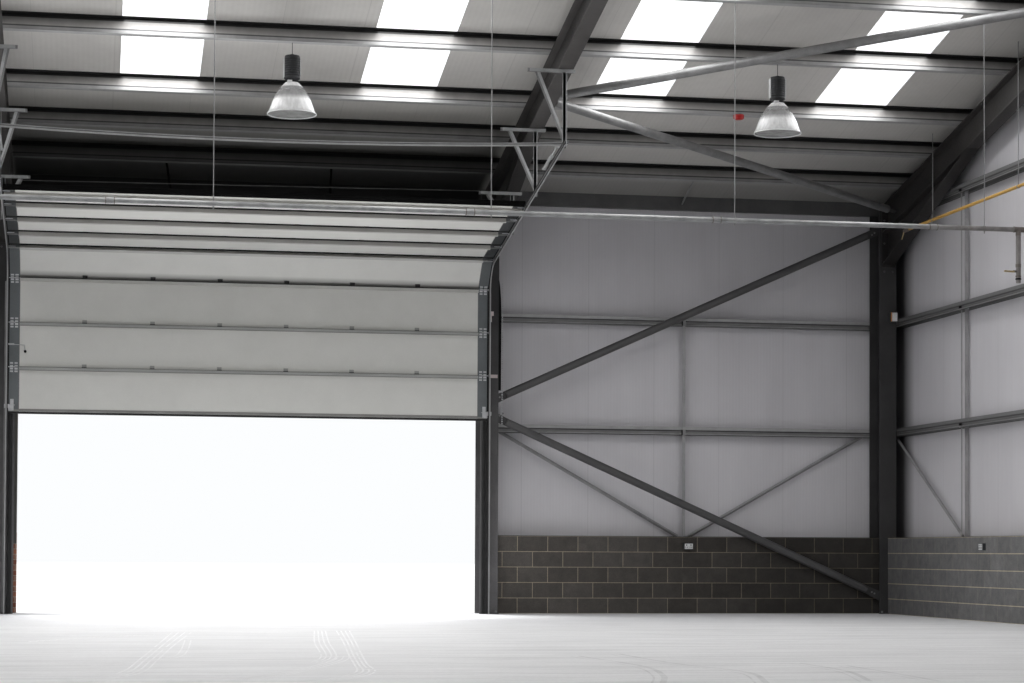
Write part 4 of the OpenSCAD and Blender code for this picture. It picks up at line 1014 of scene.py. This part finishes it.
for side in (-1, 1):
    for across, plane, at in (("x", BLOCK_FACE, -TIE_X), ("x", BLOCK_FACE, TIE_X),
                              ("y", GABLE_FACE, -13.84), ("y", GABLE_FACE, 13.84)):
        socket_box(plate, across, at, side * plane, side * (plane - 0.003), -0.062, 0.062, 1.15, 1.228)
        for gang in (-0.032, 0.032):
            front = side * (plane - 0.0032), side * (plane - 0.0065)
            for u0, u1, z0, z1 in SLOTS:
                socket_box(slots, across, at + gang, *front, u0, u1, z0, z1)
plate.box((-9.563, -17.479, 4.556), (-9.483, -17.476, 4.684))
edge = Build("junction_box_edge", "orange", "wall_box")
edge.box((-9.48, -17.4795, 4.552), (-9.464, -17.475, 4.688))

# Hand chain and hose beside the column next to the door, and clips on its flange
chain = Build("hand_chain", "galv_bright", "galvanised")
hose = Build("hose", "black", "seal_rubber")
clips = Build("column_clips", "clip_pink", "wall_box")
CHAIN_X, CHAIN_Y, LINK, HOSE_X = -3.59, -17.5, 0.032, -3.545
HOSE = ((-3.548, 5.02), (-3.556, 4.97), (-3.566, 4.88), (-3.575, 4.76), (-3.58, 4.6), (-3.581, 4.2),
        (-3.581, 3.8), (-3.581, 3.42))
for k in range(64):
    z = 2.93 + k * LINK
    chain.rod((CHAIN_X, CHAIN_Y, z), (CHAIN_X, CHAIN_Y, z + 0.02), 0.01 if k % 2 else 0.007, 8)
for (xa, za), (xb, zb) in zip(HOSE, HOSE[1:]):
    hose.prism(*[[(HOSE_X, y, za), (xa, y, za), (xb, y, zb), (HOSE_X, y, zb)] for y in (-17.54, -17.56)])
clips.box((-3.468, -17.549, 4.5), (-3.424, -17.535, 4.56))
clips.box((-3.44, -17.549, 4.41), (-3.424, -17.535, 4.5))
clips.box((-3.53, -17.549, 3.6), (-3.424, -17.542, 3.648))

# Sag bars from the lowest purlin to the beam along the eaves; those over the door are painted near black as
# shade
bars = Build("sag_bars", "galv_mid", "galvanised")
shaded = Build("sag_bars_over_door", "head_dark", "galvanised")
for x in (-6.33, -1.085, 1.204, 6.33):
    for side in (-1, 1):
        upper = (x + 0.05, side * 16.88, roof_at(16.88) - 0.15)
        lower = (x - 0.05, side * 17.98, roof_at(17.98) - 0.12)
        over_door = abs(x) < 3.3 and side < 0
        (shaded if over_door else bars).rod(upper, lower, 0.015, 8)

# Tyre marks on the floor
LIGHT_MARK_Z, DARK_MARK_Z = 0.2006, 0.2005


def smooth_path(points, steps=7):
    """Points of a smooth curve through the given ones."""
    q = [Vector(point) for point in points]
    q = [2 * q[0] - q[1]] + q + [2 * q[-1] - q[-2]]
    path = []
    for a, b, c, d in zip(q, q[1:], q[2:], q[3:]):
        for j in range(steps):
            t = j / steps
            path.append(0.5 * (2 * b + (c - a) * t + (2 * a - 5 * b + 4 * c - d) * t ** 2
                               + (3 * b - a - 3 * c + d) * t ** 3))
    return path + [q[-2]]


def ribbon(build, points, width, z=LIGHT_MARK_Z, gaps=0):
    path = smooth_path(points)
    for a, b in zip(path, path[1:]):
        if gaps and random.random() < gaps:
            continue
        along = (b - a).normalized()
        out = Vector((-along.y, along.x)) * width / 2
        build.add([(*q, z) for q in (a - out, b - out, b + out, a + out)], [(0, 1, 2, 3)])


def band(build, left, right, width, count=4):
    """Lines side by side, spread evenly from the left path to the right one."""
    for k in range(count):
        share = k / (count - 1)
        ribbon(build, [(l[0] + (r[0] - l[0]) * share, l[1] + (r[1] - l[1]) * share)
                       for l, r in zip(left, right)], width, gaps=0.04)


def beside(points, dx, dy=0):
    return [(x + dx, y + dy) for x, y in points]


light_marks = Build("tyre_marks_light", "tyre_light", "concrete")
dark_marks = Build("tyre_marks_dark", "tyre_dark", "concrete")
band(light_marks, [(1.361, -10.08), (1.624, -6.68), (1.86, -3.7), (2.03, -1.84), (2.3, -0.95), (2.75, -0.2)],
     [(1.157, -10.07), (1.467, -6.67), (1.71, -3.7), (1.878, -1.83), (2.14, -0.95), (2.6, -0.2)], 0.017)
band(light_marks, [(-0.223, -10.53), (0.1, -7.2), (0.322, -4.36), (0.52, -3.2)],
     [(-0.345, -10.53), (-0.04, -7.2), (0.195, -4.35), (0.4, -3.2)], 0.014)
band(light_marks, [(-0.468, -10.52), (-0.19, -7.3), (0.086, -4.34), (0.21, -2.9), (0.34, -1.7), (0.66, -0.75),
                   (1.1, -0.1)],
     [(-0.613, -10.51), (-0.31, -7.3), (-0.024, -4.33), (0.108, -2.89), (0.202, -1.68), (0.52, -0.75),
      (0.95, -0.1)], 0.016)
turning = [(0.09, -4.28), (0.24, -3.4), (0.74, -1.75), (1.1, -0.96), (1.75, -0.58)]
for shift in (0, 0.05, 0.1):
    ribbon(light_marks, beside(turning, shift), 0.013)
crossing = [(1.255, -7.89), (1.39, -5.56), (1.51, -4.29), (1.78, -3.52), (2.18, -2.78)]
for shift in (0, 0.06):
    ribbon(light_marks, beside(crossing, shift), 0.014)
ribbon(light_marks, [(3.185, -9.935), (2.137, -10.357), (0.892, -10.796)], 0.05)
ribbon(light_marks, [(2.9, -8.9), (2, -9.5), (1.3, -9.9)], 0.03)
tread = smooth_path([(2.817, -7.587), (2.146, -8.733), (1.379, -9.561)], 22)
for k, (a, b) in enumerate(zip(tread, tread[1:])):
    sway, z = 0.09 if k % 2 else -0.09, LIGHT_MARK_Z
    light_marks.add([(a.x - 0.012, a.y - sway, z), (a.x + 0.012, a.y - sway, z),
                     (b.x + 0.012, b.y + sway, z), (b.x - 0.012, b.y + sway, z)], [(0, 1, 2, 3)])
for points in (
        [(-3.279, -10.318), (-3.935, -9.246), (-4.392, -8.865), (-5.165, -8.831)],
        [(-1.864, -4.141), (-1.991, -2.397), (-1.82, -1.09), (-1.566, -0.09)],
        [(-2.299, -4.498), (-2.351, -2.857), (-2.553, -1.445), (-2.278, -0.023)],
        [(-3.387, -2.775), (-3.357, -1.52), (-3.073, -0.193)],
        [(-3.637, -2.343), (-3.612, -1.069), (-3.567, -0.147)],
        [(-5.2, -7.6), (-4.1, -6.9), (-3, -6.7)]):
    ribbon(dark_marks, points, 0.045, DARK_MARK_Z)
    ribbon(dark_marks, beside(points, 0.09, 0.05), 0.016, DARK_MARK_Z)

for build in Build.every:
    build.make()

# Ground on the stage, world and lights
bpy.ops.mesh.primitive_plane_add(size=400, location=(0, 0, -0.002))
ground = bpy.context.object
ground.name = "ground"
ground.data.materials.append(mats["ground"].material)

world = bpy.data.worlds.new("world")
scene.world = world
world.use_nodes = True
background = world.node_tree.nodes["Background"].inputs
background["Color"].default_value = (0.975, 0.99, 1, 1)
background["Strength"].default_value = 1


def light(name, kind, place, aim, power, width, length=0):
    """Area light of a width and length, or a sun whose angle is the width."""
    data = bpy.data.lights.new(name, kind)
    data.energy = power
    if kind == "AREA":
        data.shape = "RECTANGLE"
        data.size, data.size_y = width, length
    else:
        data.angle = width
    made = add_object(name, data)
    made.location = place
    look_along(made, Vector(aim) - Vector(place))
    made.visible_camera = False


light("sun", "SUN", (10, -20, 30), (0, 0, 0), 2.6, 0.6)
mid, length = (LIGHT_LO + LIGHT_HI) / 2, (LIGHT_LO - LIGHT_HI) / COS12
for i, x in enumerate(LIGHT_X):
    for side in (-1, 1):
        lift = Vector((0, side * SIN12, COS12))
        place = Vector((x, side * mid, roof_at(mid))) - lift * 0.02
        light("rooflight_%d_%d" % (i, side + 1), "AREA", place, place - lift, 112, 0.95, length)
light("door_glow", "AREA", (0, -17, 1.6), (0, 0, 0.4), 150, 6, 2.2)
light("front_hall", "AREA", (0, -1.5, 5.6), (0, -1.5, 0), 132, 15, 9)
scene.view_settings.view_transform = "Standard"
